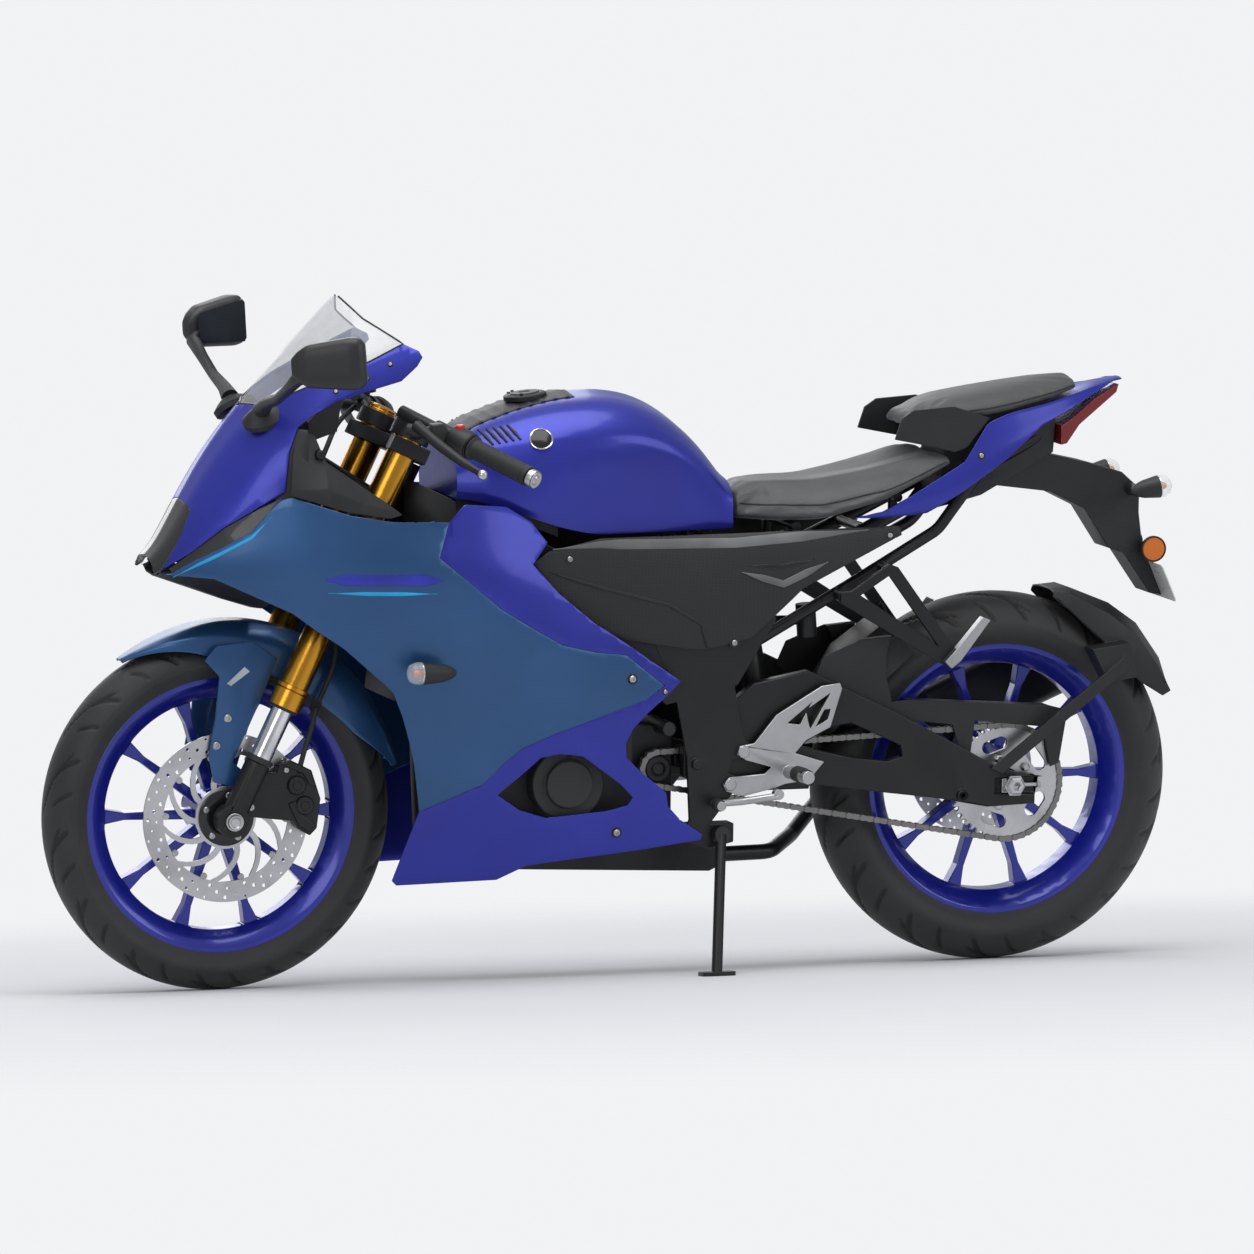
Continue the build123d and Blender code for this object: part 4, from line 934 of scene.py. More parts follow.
@dataclass
class Workshop:
    """Turns shapes into finished pieces that ride on a body."""

    rack: FinishRack
    made: int = 0

    def piece(
        self,
        name: str,
        shape: Shape,
        finish: str,
        body: Body = Body.FRAME,
        replaces: Sequence[str] = (),
        wall: float = 0.0,
        sharp: float = 34.0,
        closed: bool = True,
    ) -> bpy.types.Object:
        """Hands over a shape as a piece.

        Args:
            name: The piece's name.
            shape: The shape, in the upright frame.
            finish: The finish's key.
            body: The body it rides on.
            replaces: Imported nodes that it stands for.
            wall: Wall of an open sheet.
            sharp: Angle in degrees over which an edge stays sharp.
            closed: Whether the faces are turned outwards anew.

        Returns:
            The piece.
        """
        grid = shape.grid
        bmesh.ops.remove_doubles(grid, verts=grid.verts, dist=MERGE)
        if closed:
            bmesh.ops.recalc_face_normals(grid, faces=grid.faces)
        mesh = bpy.data.meshes.new(name)
        grid.to_mesh(mesh)
        grid.free()
        mesh.transform(LEANED @ Matrix.Scale(MM, 4))
        obj = self._link(name, mesh, finish, body, replaces, sharp)
        if wall:
            self._thicken(obj, wall)
        return obj

    def _link(
        self, name: str, mesh: bpy.types.Mesh, finish: str, body: Body, replaces: Sequence[str], sharp: float
    ) -> bpy.types.Object:
        """Shades, finishes and links a mesh.

        Args:
            name: The piece's name.
            mesh: Its mesh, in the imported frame.
            finish: The finish's key.
            body: The body it rides on.
            replaces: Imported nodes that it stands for.
            sharp: Angle in degrees over which an edge stays sharp.

        Returns:
            The piece.
        """
        mesh.shade_smooth()
        mesh.set_sharp_from_angle(angle=math.radians(sharp))
        mesh.materials.append(self.rack.get(finish))
        obj = bpy.data.objects.new(name, mesh)
        bpy.context.scene.collection.objects.link(obj)
        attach(obj, body.value)
        if replaces:
            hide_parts(*replaces)
        self.made += 1
        LOG.info("%s: %d faces, rides on %s", name, len(mesh.polygons), body.value)
        return obj

    @staticmethod
    def _thicken(obj: bpy.types.Object, wall: float) -> None:
        """Gives an open sheet its wall and a soft edge.

        Args:
            obj: The sheet.
            wall: Its wall, in millimetres.
        """
        solid = obj.modifiers.new("wall", "SOLIDIFY")
        solid.thickness = wall * MM
        solid.offset = -1.0
        Workshop._round(obj, SHEET_ROUNDING, SHEET_SHARP)

    @staticmethod
    def _round(obj: bpy.types.Object, width: float, sharp: float) -> None:
        """Rounds a piece's edges.

        Args:
            obj: The piece.
            width: Width of the rounding, in millimetres.
            sharp: Angle in degrees over which an edge is rounded.
        """
        soft = obj.modifiers.new("edge", "BEVEL")
        soft.width = width * MM
        soft.segments = 2
        soft.limit_method = "ANGLE"
        soft.angle_limit = math.radians(sharp)
        soft.use_clamp_overlap = False

    def soften(self, node: str, body: Body, width: float = 1.0, sharp: float = 38.0) -> None:
        """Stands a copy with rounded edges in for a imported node.

        Args:
            node: The node's name.
            body: The body it rides on.
            width: Width of the rounding.
            sharp: Angle in degrees over which an edge stays sharp.
        """
        source = frame["nodes"][node]
        key = next(s["material_slot"] for s in frame["record"]["subparts"] if s["node"] == node)
        grid = bmesh.new()
        grid.from_mesh(source.data)
        bmesh.ops.remove_doubles(grid, verts=grid.verts, dist=NODE_MERGE)
        bmesh.ops.dissolve_limit(
            grid, angle_limit=FLAT_ANGLE, verts=grid.verts, edges=grid.edges,
            use_dissolve_boundaries=False
        )
        mesh = bpy.data.meshes.new(node + "_soft")
        grid.to_mesh(mesh)
        grid.free()
        self._round(self._link(node + "_soft", mesh, key, body, (node,), sharp), width, sharp)


# ---------------- tables, in millimetres

# Stations: x, then the (y, z) corners of half a section from its top down.

NOSE_STATIONS: Stations = (
    (806, ((0, 716), (34, 712), (52, 700), (56, 676))),
    (775, ((0, 772), (42, 764), (76, 732), (84, 684))),
    (728, ((0, 862), (56, 846), (100, 786), (112, 712))),
    (690, ((0, 922), (62, 902), (116, 836), (132, 742))),
    (645, ((0, 980), (76, 952), (134, 886), (152, 772))),
    (560, ((0, 1076), (100, 1030), (152, 955), (172, 820))),
    (480, ((0, 1160), (116, 1088), (160, 1005), (176, 880))),
    (372, ((0, 1230), (126, 1120), (160, 1055), (168, 980))),
)
SIDE_STATIONS: Stations = (
    (792, ((60, 746), (66, 716), (60, 690), (58, 600), (56, 450), (54, 185))),
    (700, ((116, 790), (132, 722), (125, 660), (112, 560), (100, 420), (90, 185))),
    (600, ((172, 846), (184, 730), (174, 640), (152, 540), (132, 400), (110, 182))),
    (500, ((186, 830), (206, 734), (200, 600), (186, 520), (160, 380), (118, 180))),
    (400, ((186, 815), (214, 738), (208, 620), (198, 500), (172, 360), (126, 178))),
    (250, ((168, 824), (204, 720), (206, 620), (196, 500), (172, 350), (128, 178))),
    (100, ((148, 750), (176, 660), (186, 590), (186, 480), (168, 340), (138, 185))),
    (-140, ((144, 600), (152, 560), (158, 510), (162, 430), (156, 330), (142, 215))),
)
TAIL_STATIONS: Stations = (
    (-380, ((96, 800), (112, 790), (116, 772), (104, 760))),
    (-530, ((108, 860), (116, 830), (116, 790), (98, 766))),
    (-650, ((94, 936), (110, 880), (106, 830), (80, 800))),
    (-760, ((78, 956), (92, 920), (84, 880), (64, 850))),
    (-906, ((12, 992), (24, 986), (22, 976), (10, 970))),
)
COVER_STATIONS: Stations = (
    (186, ((146, 752), (152, 735), (150, 690), (146, 640))),
    (60, ((134, 754), (142, 740), (146, 660), (144, 590))),
    (-120, ((112, 756), (130, 740), (144, 660), (143, 560))),
    (-300, ((110, 760), (126, 744), (136, 660), (136, 600))),
    (-480, ((100, 764), (110, 752), (112, 735), (110, 720))),
)
TANK_STATIONS: Stations = (
    (300, ((0, 902), (52, 900), (82, 890), (98, 868), (104, 842), (100, 822))),
    (262, ((0, 938), (66, 934), (104, 914), (124, 880), (132, 838), (126, 818))),
    (180, ((0, 968), (76, 962), (128, 930), (150, 884), (150, 806), (140, 790))),
    (120, ((0, 982), (80, 974), (132, 938), (150, 888), (138, 804), (128, 770))),
    (60, ((0, 988), (80, 978), (134, 936), (144, 890), (124, 800), (118, 757))),
    (10, ((0, 986), (79, 974), (131, 930), (134, 880), (114, 794), (110, 757))),
    (-40, ((0, 974), (76, 960), (124, 916), (120, 864), (106, 790), (103, 757))),
    (-90, ((0, 946), (70, 934), (112, 896), (108, 848), (98, 784), (94, 757))),
    (-140, ((0, 902), (60, 892), (94, 862), (95, 824), (90, 778), (86, 757))),
    (-192, ((0, 832), (48, 826), (72, 806), (76, 790), (78, 766), (76, 757))),
)

# Outlines: (x, z) corners in side view.

NOSE_EDGE: Outline = (
    (815, 702), (796, 709), (754, 740), (703, 785), (644, 824), (609, 846), (600, 911), (584, 950),
    (562, 968), (521, 992), (471, 1009), (414, 1025), (386, 1049), (376, 1063), (381, 1073), (405, 1084),
    (477, 1049), (557, 1015), (625, 980), (648, 977), (652, 990), (830, 800),
)
SCREEN_EDGE: Outline = (
    (652, 990), (648, 977), (625, 980), (557, 1015), (477, 1049), (405, 1084), (457, 1121), (484, 1158),
)
SCREEN_RIM: Outline = (
    (648, 977), (625, 980), (557, 1015), (477, 1049), (405, 1084), (457, 1121), (482, 1156),
)
LAMP_EDGE: Outline = ((850, 822), (748, 822), (744, 808), (796, 690), (850, 690))
FOLD_EDGE: Outline = ((616, 950), (568, 946), (572, 826), (624, 822))
SKIRT_EDGE: Outline = ((300, 846), (296, 800), (240, 806), (180, 776), (120, 752), (120, 800), (200, 846))
TEAL_EDGE: Outline = (
    (796, 704), (778, 703), (718, 700), (652, 670), (601, 647), (563, 619), (518, 589), (450, 529),
    (433, 513), (415, 471), (401, 428), (390, 386), (376, 309), (271, 352), (237, 386), (205, 412),
    (148, 435), (68, 461), (-12, 486), (-45, 508), (24, 562), (83, 570), (141, 584), (196, 615), (252, 649),
    (360, 737), (338, 793), (437, 797), (506, 808), (583, 832), (609, 841), (626, 826), (648, 800),
    (664, 780), (708, 752), (744, 732), (780, 707),
)
BELLY_EDGE: Outline = (
    (376, 309), (271, 352), (237, 386), (205, 412), (148, 435), (68, 461), (-12, 486), (-45, 508),
    (-75, 514), (-49, 490), (-16, 464), (10, 438), (22, 414), (20, 390), (-5, 366), (-54, 327), (-59, 303),
    (-82, 279), (-123, 252), (-120, 243), (-15, 230), (126, 216), (183, 209), (232, 186),
    (404, 182), (412, 190),
)
BELLY_WINDOW: Outline = (
    (243, 334), (203, 367), (171, 395), (139, 400), (98, 395), (28, 344), (5, 321), (14, 307), (49, 299),
    (155, 291), (203, 306),
)
MID_EDGE: Outline = (
    (338, 793), (308, 820), (233, 814), (188, 787), (160, 752), (191, 719), (147, 671), (82, 618),
    (40, 592), (-75, 514), (-45, 508), (24, 562), (83, 570), (141, 584), (196, 615), (252, 649), (360, 737),
)
TAIL_EDGE: Outline = (
    (-394, 772), (-447, 782), (-517, 820), (-590, 862), (-640, 930), (-652, 944), (-866, 980), (-900, 990),
    (-735, 918), (-668, 864), (-590, 812), (-527, 776), (-447, 770),
)
COVER_EDGE: Outline = (
    (152, 735), (180, 716), (140, 668), (78, 612), (30, 588), (-60, 540), (-176, 552), (-300, 660),
    (-480, 742), (-477, 758), (-176, 753), (60, 753),
)
STAY_EDGE: Outline = (
    (721, 560), (696, 533), (702, 461), (713, 401), (704, 357), (652, 345), (652, 374), (672, 389),
    (619, 504), (597, 560), (640, 590), (700, 584),
)

# Stations of the seat pads, the fender and the mirrors.

RIDER_STATIONS: Stations = (
    (-200, ((0, 822), (40, 820), (66, 800), (70, 770), (0, 770))),
    (-260, ((0, 826), (60, 826), (96, 800), (100, 766), (0, 766))),
    (-340, ((0, 824), (84, 828), (120, 800), (124, 768), (0, 768))),
    (-450, ((0, 838), (90, 850), (128, 824), (126, 799), (0, 799))),
    (-540, ((0, 862), (88, 872), (116, 856), (112, 842), (0, 842))),
    (-572, ((0, 872), (76, 872), (98, 866), (98, 858), (0, 858))),
)
PILLION_STATIONS: Stations = (
    (-510, ((0, 940), (46, 936), (70, 922), (70, 914), (0, 914))),
    (-560, ((0, 962), (64, 958), (90, 940), (90, 926), (0, 926))),
    (-660, ((0, 978), (66, 972), (92, 952), (92, 938), (0, 938))),
    (-760, ((0, 992), (54, 986), (76, 972), (76, 960), (0, 960))),
    (-812, ((0, 998), (36, 992), (54, 984), (54, 976), (0, 976))),
)
FENDER_TABLE = (
    # turn, half width, reach, drop
    (57, 14, 311, 6),
    (66, 38, 311, 12),
    (76, 56, 315, 30),
    (87, 58, 321, 58),
    (101, 62, 325, 76),
    (118, 63, 329, 84),
    (134, 62, 325, 80),
    (150, 58, 320, 62),
    (161, 50, 318, 30),
    (166, 38, 318, 14),
)
MIRROR_STATIONS: Stations = (
    # share of the mirror's length, half width and half height
    (-0.52, ((8, 13), (8, 13))),
    (-0.46, ((14, 23), (14, 23))),
    (-0.3, ((19, 35), (19, 35))),
    (0.3, ((22, 43), (22, 43))),
    (0.46, ((18, 41), (18, 41))),
    (0.52, ((8, 30), (8, 30))),
)
MIRROR_GLASS: Outline = (
    (-0.4, -24), (0.4, -36), (0.44, -30), (0.44, 30), (0.4, 36), (-0.4, 26), (-0.44, 18), (-0.44, -18),
)
HOSE_ROUTE: tuple[Point, ...] = (
    (561, 84, 374), (556, 85, 394), (550, 86, 416), (540, 85, 446), (531, 80, 478),
    (516, 75, 508), (500, 70, 544), (494, 63, 582), (502, 54, 620), (520, 42, 654),
    (533, 20, 688), (534, -8, 722), (521, -42, 760), (503, -70, 800), (484, -88, 846),
    (461, -106, 888), (436, -132, 922), (404, -156, 944), (380, -170, 956),
)
SIGNALS: tuple[tuple[Point, Point, float], ...] = (
    # tail, tip and length of the lens
    ((352, 240, 551), (424, 244, 552), 24),
    ((-896, 122, 808), (-955, 124, 817), 22),
)


@dataclass(frozen=True)
class Mark:
    """A strip laid on one of the body's surfaces."""

    name: str
    skin: str
    line: Outline
    width: float
    finish: str
    lift: float
    taper: float


MARKS = (
    Mark("stripe_blue", "side", ((552, 704), (352, 700)), 18, "mark_blue", 0.35, 30),
    Mark("stripe_cyan", "side", ((546, 682), (364, 678)), 7, "mark_cyan", 0.35, 60),
    Mark(
        "stripe_edge", "side", ((778, 700), (740, 724), (706, 744), (664, 770), (632, 806)),
        5.5, "mark_cyan", 0.4, 50,
    ),
    Mark("chevron", "cover", ((-188, 690), (-263, 668), (-344, 702)), 12, "grey_trim", 2.4, 40),
    Mark("chevron_roof", "cover", ((-200, 700), (-262, 696), (-320, 706)), 9, "gloss_black", 0.6, 40),
    Mark(
        "cover_lip", "cover", ((146, 738), (60, 743), (-60, 740), (-180, 738), (-330, 747), (-420, 752)),
        16, "grey_trim", 0.8, 120,
    ),
    Mark(
        "cover_fold", "cover", ((150, 700), (60, 672), (-60, 640), (-118, 606), (-128, 560)),
        6, "black_trim", 1.8, 40,
    ),
)
FASTENERS: tuple[tuple[str, tuple[float, float], float, float], ...] = (
    # surface, place, radius of the screw and of its cup
    ("cover", (116, 721), 5, 9),
    ("cover", (-458, 742), 4.5, 8),
    ("cover", (-176, 566), 5, 9),
    ("side", (14, 522), 6, 9.5),
    ("side", (30, 262), 6, 9.5),
    ("side", (-46, 498), 3.5, 6),
    ("nose", (520, 1008), 3, 5),
    ("nose", (470, 1030), 3, 5),
    ("nose", (430, 1052), 3, 5),
    ("tail", (-620, 872), 4, 7),
)


# ---------------- bodywork


@dataclass
class Bodywork:
    """Painted panels, tank, screen and the marks on them."""

    shop: Workshop
    nose: Skin = Skin(NOSE_STATIONS, 26, 0.24)
    side: Skin = Skin(SIDE_STATIONS, 34, 0.22)
    tail: Skin = Skin(TAIL_STATIONS, 40, 0.3)
    cover: Skin = Skin(COVER_STATIONS, 30, 0.3)
    tank: Skin = Skin(TANK_STATIONS, 20, 0.3)
    badge_place: tuple[float, float] = (164, 920)
    cap_place: tuple[float, float] = (150, 976)
    cap_way: Point = (0.125, 0, 1)

    def build(self) -> None:
        """Makes every panel."""
        self._panels()
        self._tank()
        self._tail_top()
        self._screen_rim()
        self._fender()
        self._fender_stays()
        self._marks()
        self._fasteners()

    def _panels(self) -> None:
        """Makes the shells that follow the station tables."""
        rows = (
            ("side_fairings", self.side, TEAL_EDGE, (), "teal_panel", 3.2),
            ("belly_fairings", self.side, BELLY_EDGE, BELLY_WINDOW, "blue_panel", 3.2),
            ("mid_fairings", self.side, MID_EDGE, (), "blue_panel", 3.2),
            ("tail_cowls", self.tail, TAIL_EDGE, (), "blue_panel", 3),
            ("nose_cowl", self.nose, NOSE_EDGE, (), "blue_panel", 3.2),
            ("windscreen", self.nose, SCREEN_EDGE, (), "screen", 2.6),
        )
        for node, skin, edge, hole, finish, wall in rows:
            shape = skin.panel(edge, hole)
            if node == "nose_cowl":
                self._part_nose(shape, keep_lamp=False)
            shape.mirrored()
            self.shop.piece(node + "_skin", shape, finish, replaces=(node,), wall=wall, closed=False)
        lens = self.nose.panel(NOSE_EDGE)
        self._part_nose(lens, keep_lamp=True)
        lens.mirrored()
        bmesh.ops.remove_doubles(lens.grid, verts=lens.grid.verts, dist=LENS_MERGE)
        self.shop.piece("lamp_lens", lens, "lamp_glass", replaces=("headlamp",), wall=5.0, closed=False)
        fold = self.nose.panel(FOLD_EDGE)
        for vert in fold.grid.verts:
            vert.co.y -= FOLD_DEPTH
        self.shop.piece("nose_folds", fold.mirrored(), "black_trim", wall=2.0, closed=False)
        cover = self.cover.panel(COVER_EDGE).mirrored()
        self.shop.piece("side_cover_skins", cover, "weave", replaces=("side_covers",), wall=2.6, closed=False)

    @staticmethod
    def _part_nose(shape: Shape, keep_lamp: bool) -> None:
        """Parts the left half of the nose at the lamp's edge.

        Args:
            shape: The whole half.
            keep_lamp: Whether the lamp's lens is kept, or else the painted cowl.
        """
        sides = list(zip(LAMP_EDGE, LAMP_EDGE[1:] + LAMP_EDGE[:1]))
        cuts = [((0, LAMP_HALF, 0), LEFT)]
        cuts += [((xa, 0, za), (zb - za, 0, xa - xb)) for (xa, za), (xb, zb) in sides]
        for place, way in cuts:
            near = [face for face in shape.grid.faces if face.calc_center_median().x > LAMP_BACK]
            parts = near + list({e for f in near for e in f.edges}) + list({v for f in near for v in f.verts})
            bmesh.ops.bisect_plane(shape.grid, geom=parts, dist=0.2, plane_co=place, plane_no=way)
        gone = []
        for face in shape.grid.faces:
            spot = face.calc_center_median()
            turns = [(xb - xa) * (spot.z - za) - (zb - za) * (spot.x - xa) for (xa, za), (xb, zb) in sides]
            within = spot.y < LAMP_HALF and (min(turns) > 0.0 or max(turns) < 0.0)
            if within != keep_lamp:
                gone.append(face)
        bmesh.ops.delete(shape.grid, geom=gone, context="FACES")

    def _tank(self) -> None:
        """Makes the tank's shell and all that is set in it."""
        shell = self.tank.body(9, 40)
        self.shop.piece("tank_shell", shell, "blue_panel", replaces=("fuel_tank",), sharp=50.0)
        self._tank_vents()
        self._badges()
        self._tank_cap()
        self._tank_spine()
        self._tank_skirts()

    def _tank_vents(self) -> None:
        """Makes the row of slits in each front corner of the tank."""
        vents = Shape()
        for index in range(5):
            x = 247 - index * 11
            line = [
                self.tank.point(x - step * 5, 921 - 8 * step + index * 2.2, 0.2)
                for step in (-1.3, 0, 1.3)
            ]
            vents.tube(line, (2.2, 3.4, 2.2), 8)
        self.shop.piece("tank_vents", vents.mirrored(), "black_trim")

    def _badges(self) -> None:
        """Makes the bare round badge of each side, with its rim."""
        badge = Shape()
        rim = Shape()
        for side in SIDES:
            seat = self.tank.point(*self.badge_place, 0, side)
            way = self.tank.normal(*self.badge_place, side)
            badge.lathe(((0, 2.6), (15.5, 2.4), (17.5, 1.6), (17.5, -3)), seat, way, 40)
            rim.lathe(((17.4, -3), (17.4, 2.6), (18.6, 3.2), (19.8, 2.6), (19.8, -3)), seat, way, 40)
        self.shop.piece("badge_discs", badge, "gloss_black")
        self.shop.piece("badge_rims", rim, "chrome")

    def _tank_cap(self) -> None:
        """Makes the tank's cap with its screws."""
        x, z = self.cap_place
        cap = Shape().lathe(
            ((0, 8), (9, 8), (10, 9.4), (24, 9.2), (25, 7.4), (33, 7), (36, 5), (36, -2)),
            (x, 0, z), self.cap_way, 48,
        )
        for ahead, out in circle(6, 29):
            cap.screw((x + ahead, out, z + 7.4), self.cap_way, 3)
        self.shop.piece("cap_top", cap, "black_trim", replaces=("tank_cap",))

    def _tank_skirts(self) -> None:
        """Makes the dark plates under the tank's front corners."""
        skirt = Shape().slab(SKIRT_EDGE, 92, 95)
        self.shop.piece("tank_skirts", skirt.mirrored(), "black_trim")

    def _screen_rim(self) -> None:
        """Lays the dark edge along the screen."""
        line = []
        for (xa, za), (xb, zb) in zip(SCREEN_RIM, SCREEN_RIM[1:]):
            places = [(xa + (xb - xa) * i / 8, za + (zb - za) * i / 8) for i in range(8)]
            line += [self.nose.point(x, z, -0.6) for x, z in places]
        self.shop.piece("screen_rim", Shape().tube(line, 1.7, 8).mirrored(), "lamp_glass")

    def _tail_top(self) -> None:
        """Closes the tail between its two cowls, behind the pillion pad."""
        rows = []
        for step in range(25):
            x = -762 - 142 * step / 24
            out, height = self.tail.at(x, 0.06)
            crown = 7 * max(0, min(1, (-x - 815) / 40)) * out / 60
            places = [i / 6 for i in range(7)]
            rows.append([(x, out * i, height - 1 + crown * (1 - i**2)) for i in places])
        top = Shape().sheet(rows, UP)
        self.shop.piece("tail_top", top.mirrored(), "blue_panel", wall=2.4, closed=False)

    def _tank_spine(self) -> None:
        """Lays the ribbed black cover on the front of the tank's top."""
        rows = []
        for step in range(61):
            x = 296 - 3.6 * step
            rise = 1.2 + 1.4 * (step % 6 in (2, 3))
            wide = 0.9 - 0.25 * step / 60
            rows.append([(x, y, z + rise) for y, z in (self.tank.at(x, wide * i / 6) for i in range(7))])
        spine = Shape().sheet(rows, UP)
        self.shop.piece("tank_spine", spine.mirrored(), "black_trim", wall=2.4, closed=False)

    def _fender(self) -> None:
        """Makes the front fender."""
        rows = []
        for turn, half, reach, drop in FENDER_TABLE:
            shoulder = (half * 0.94, reach - drop * 0.3)
            rows.append((turn, ((0, reach), (half * 0.5, reach), shoulder, (half, reach - drop))))
        arch = Skin(tuple(rows), 3, 0.24)
        first, last = FENDER_TABLE[0][0], FENDER_TABLE[-1][0]
        strips = []
        for step in range(74):
            turn = first + (last - first) * step / 73
            angle = math.radians(turn)
            way = Vector((math.cos(angle), 0, math.sin(angle)))
            strip = []
            for count in range(-18, 19):
                out, reach = arch.at(turn, abs(count) / 6)
                spread = math.copysign(out, count) if count else 0.0
                strip.append(FRONT_AXLE + way * reach + Vector((0, spread, 0)))
            strips.append(strip)
        self.shop.piece(
            "fender_arch", Shape().sheet(strips, UP), "teal_panel", Body.STEERING, ("front_fender",),
            wall=2.8, closed=False,
        )

    def _fender_stays(self) -> None:
        """Makes the fender's stays with their screws and marks."""
        stays = Shape().slab(STAY_EDGE, 69.5, 73.6, 1)
        stays.slab(((716, 556), (700, 540), (640, 530), (606, 556), (640, 586), (700, 580)), 57, 70.5, 1)
        self.shop.piece("fender_stays", stays.mirrored(), "teal_panel", Body.STEERING)
        screws = Shape()
        for x, z in ((681, 463), (700, 418)):
            screws.screw((x, 73.4, z), LEFT, 7)
        self.shop.piece("fender_screws", screws.mirrored(), "alloy", Body.STEERING)
        slash = Shape().slab(((683, 521), (676, 517), (644, 540), (653, 548)), 73.4, 74)
        self.shop.piece("fender_slashes", slash.mirrored(), "mark_pale", Body.STEERING)

    def _strip(
        self, skin: Skin, points: Outline, width: float, lift: float = 0.3, taper: float = 0.0
    ) -> Shape:
        """Lays a flat strip on a surface.

        Args:
            skin: The surface.
            points: The strip's (x, z) line.
            width: Its width.
            lift: Height over the surface.
            taper: Length over which its ends run to a point.

        Returns:
            The strip on both sides.
        """
        dense = []
        for (xa, za), (xb, zb) in zip(points, points[1:]):
            count = max(1, int(math.hypot(xb - xa, zb - za) / 8))
            dense += [(xa + (xb - xa) * s / count, za + (zb - za) * s / count) for s in range(count)]
        dense.append(points[-1])
        rows = []
        for index, (x, z) in enumerate(dense):
            xa, za = dense[max(index - 1, 0)]
            xb, zb = dense[min(index + 1, len(dense) - 1)]
            run = math.hypot(xb - xa, zb - za)
            edge = min(math.dist((x, z), points[0]), math.dist((x, z), points[-1]))
            half = width / 2 * (max(0.12, min(1, edge / taper)) if taper else 1.0)
            nx, nz = -(zb - za) / run * half, (xb - xa) / run * half
            rows.append([skin.point(x + s * nx, z + s * nz, lift) for s in (-1, 0, 1)])
        return Shape().sheet(rows, LEFT).mirrored()

    def _marks(self) -> None:
        """Lays the plain stripes and the trim on the panels."""
        for mark in MARKS:
            shape = self._strip(getattr(self, mark.skin), mark.line, mark.width, mark.lift, mark.taper)
            self.shop.piece(mark.name, shape, mark.finish, wall=mark.lift + 0.6, closed=False)

    def _fasteners(self) -> None:
        """Sets the screws of the panels in their cups."""
        screws = Shape()
        cups = Shape()
        for name, (x, z), size, cup in FASTENERS:
            skin = getattr(self, name)
            for side in SIDES:
                way = skin.normal(x, z, side)
                screws.screw(skin.point(x, z, 0.6, side), way, size)
                profile = ((size, 0.2), (cup - 1, 0.7), (cup, 0.2), (cup, -2))
                cups.lathe(profile, skin.point(x, z, 0, side), way, 22)
        self.shop.piece("panel_screws", screws, "alloy")
        self.shop.piece("panel_cups", cups, "black_trim")


# ---------------- wheels


@dataclass(frozen=True)
class TyreSize:
    """Size of a tyre and of its tread."""

    name: str
    node: str
    body: Body
    centre: Vector
    radius: float
    half: float
    crown: float
    bead: float
    pitches: int
    seat: float = 220.0
    groove: float = 4.6


@dataclass(frozen=True)
class DiscSize:
    """Size of a brake disc, its arms and its drilling."""

    name: str
    node: str
    body: Body
    centre: Vector
    line: float
    radius: float
    arms: int
    wall: float = 4.5
    hub: float = 38.0
    low: float = 52.0
    ring: float = 34.0
    foot: float = 9.0
    tip: float = 13.0
    sweep: float = 0.55
    groups: int = 12
    insets: tuple[float, ...] = (8, 17, 26)
    hole: float = 3.1
    small_hole: float = 2.3


@dataclass(frozen=True)
class ChainSize:
    """Size of the roller chain and its run round both sprockets."""

    drive: Point = (-62, 0, 357)
    line: float = 88.0
    pitch: float = 12.7
    teeth: tuple[int, int] = (48, 14)
    end: float = 5.6
    waist: float = 3.9
    wall: float = 1.5
    half: float = 5.4
    inset: float = 1.6
    roller: Outline = (
        (0, -7), (1.9, -7), (1.9, -3.6), (3.9, -3.6),
        (3.9, 3.6), (1.9, 3.6), (1.9, 7), (0, 7),
    )

    def pins(self) -> list[Vector]:
        """Places of the pins round the pitch line.

        Returns:
            The places, from the top of the rear sprocket on.
        """
        drive = Vector(self.drive)
        big, small = (self.pitch / (2 * math.sin(math.pi / teeth)) for teeth in self.teeth)
        way = drive - REAR_AXLE
        lift = math.acos((big - small) / way.length)
        head = math.atan2(way.z, way.x) + lift
        foot = head - 2 * lift
        straight = math.sqrt(way.length_squared - (big - small) ** 2)
        lengths = (big * (math.tau - 2 * lift), straight, small * 2 * lift, straight)
        links = 2 * round(sum(lengths) / self.pitch / 2)

        def rim(turn: float, radius: float) -> Vector:
            """A point of a circle, from its centre."""
            return Vector((math.cos(turn), 0, math.sin(turn))) * radius

        pins = []
        for link in range(links):
            place = link * sum(lengths) / links
            part = 0
            while place >= lengths[part] and part < 3:
                place -= lengths[part]
                part += 1
            spots = (
                REAR_AXLE + rim(head + place / big, big),
                (REAR_AXLE + rim(foot, big)).lerp(drive + rim(foot, small), place / straight),
                drive + rim(foot + place / small, small),
                (drive + rim(head, small)).lerp(REAR_AXLE + rim(head, big), place / straight),
            )
            pins.append(spots[part])
        return pins


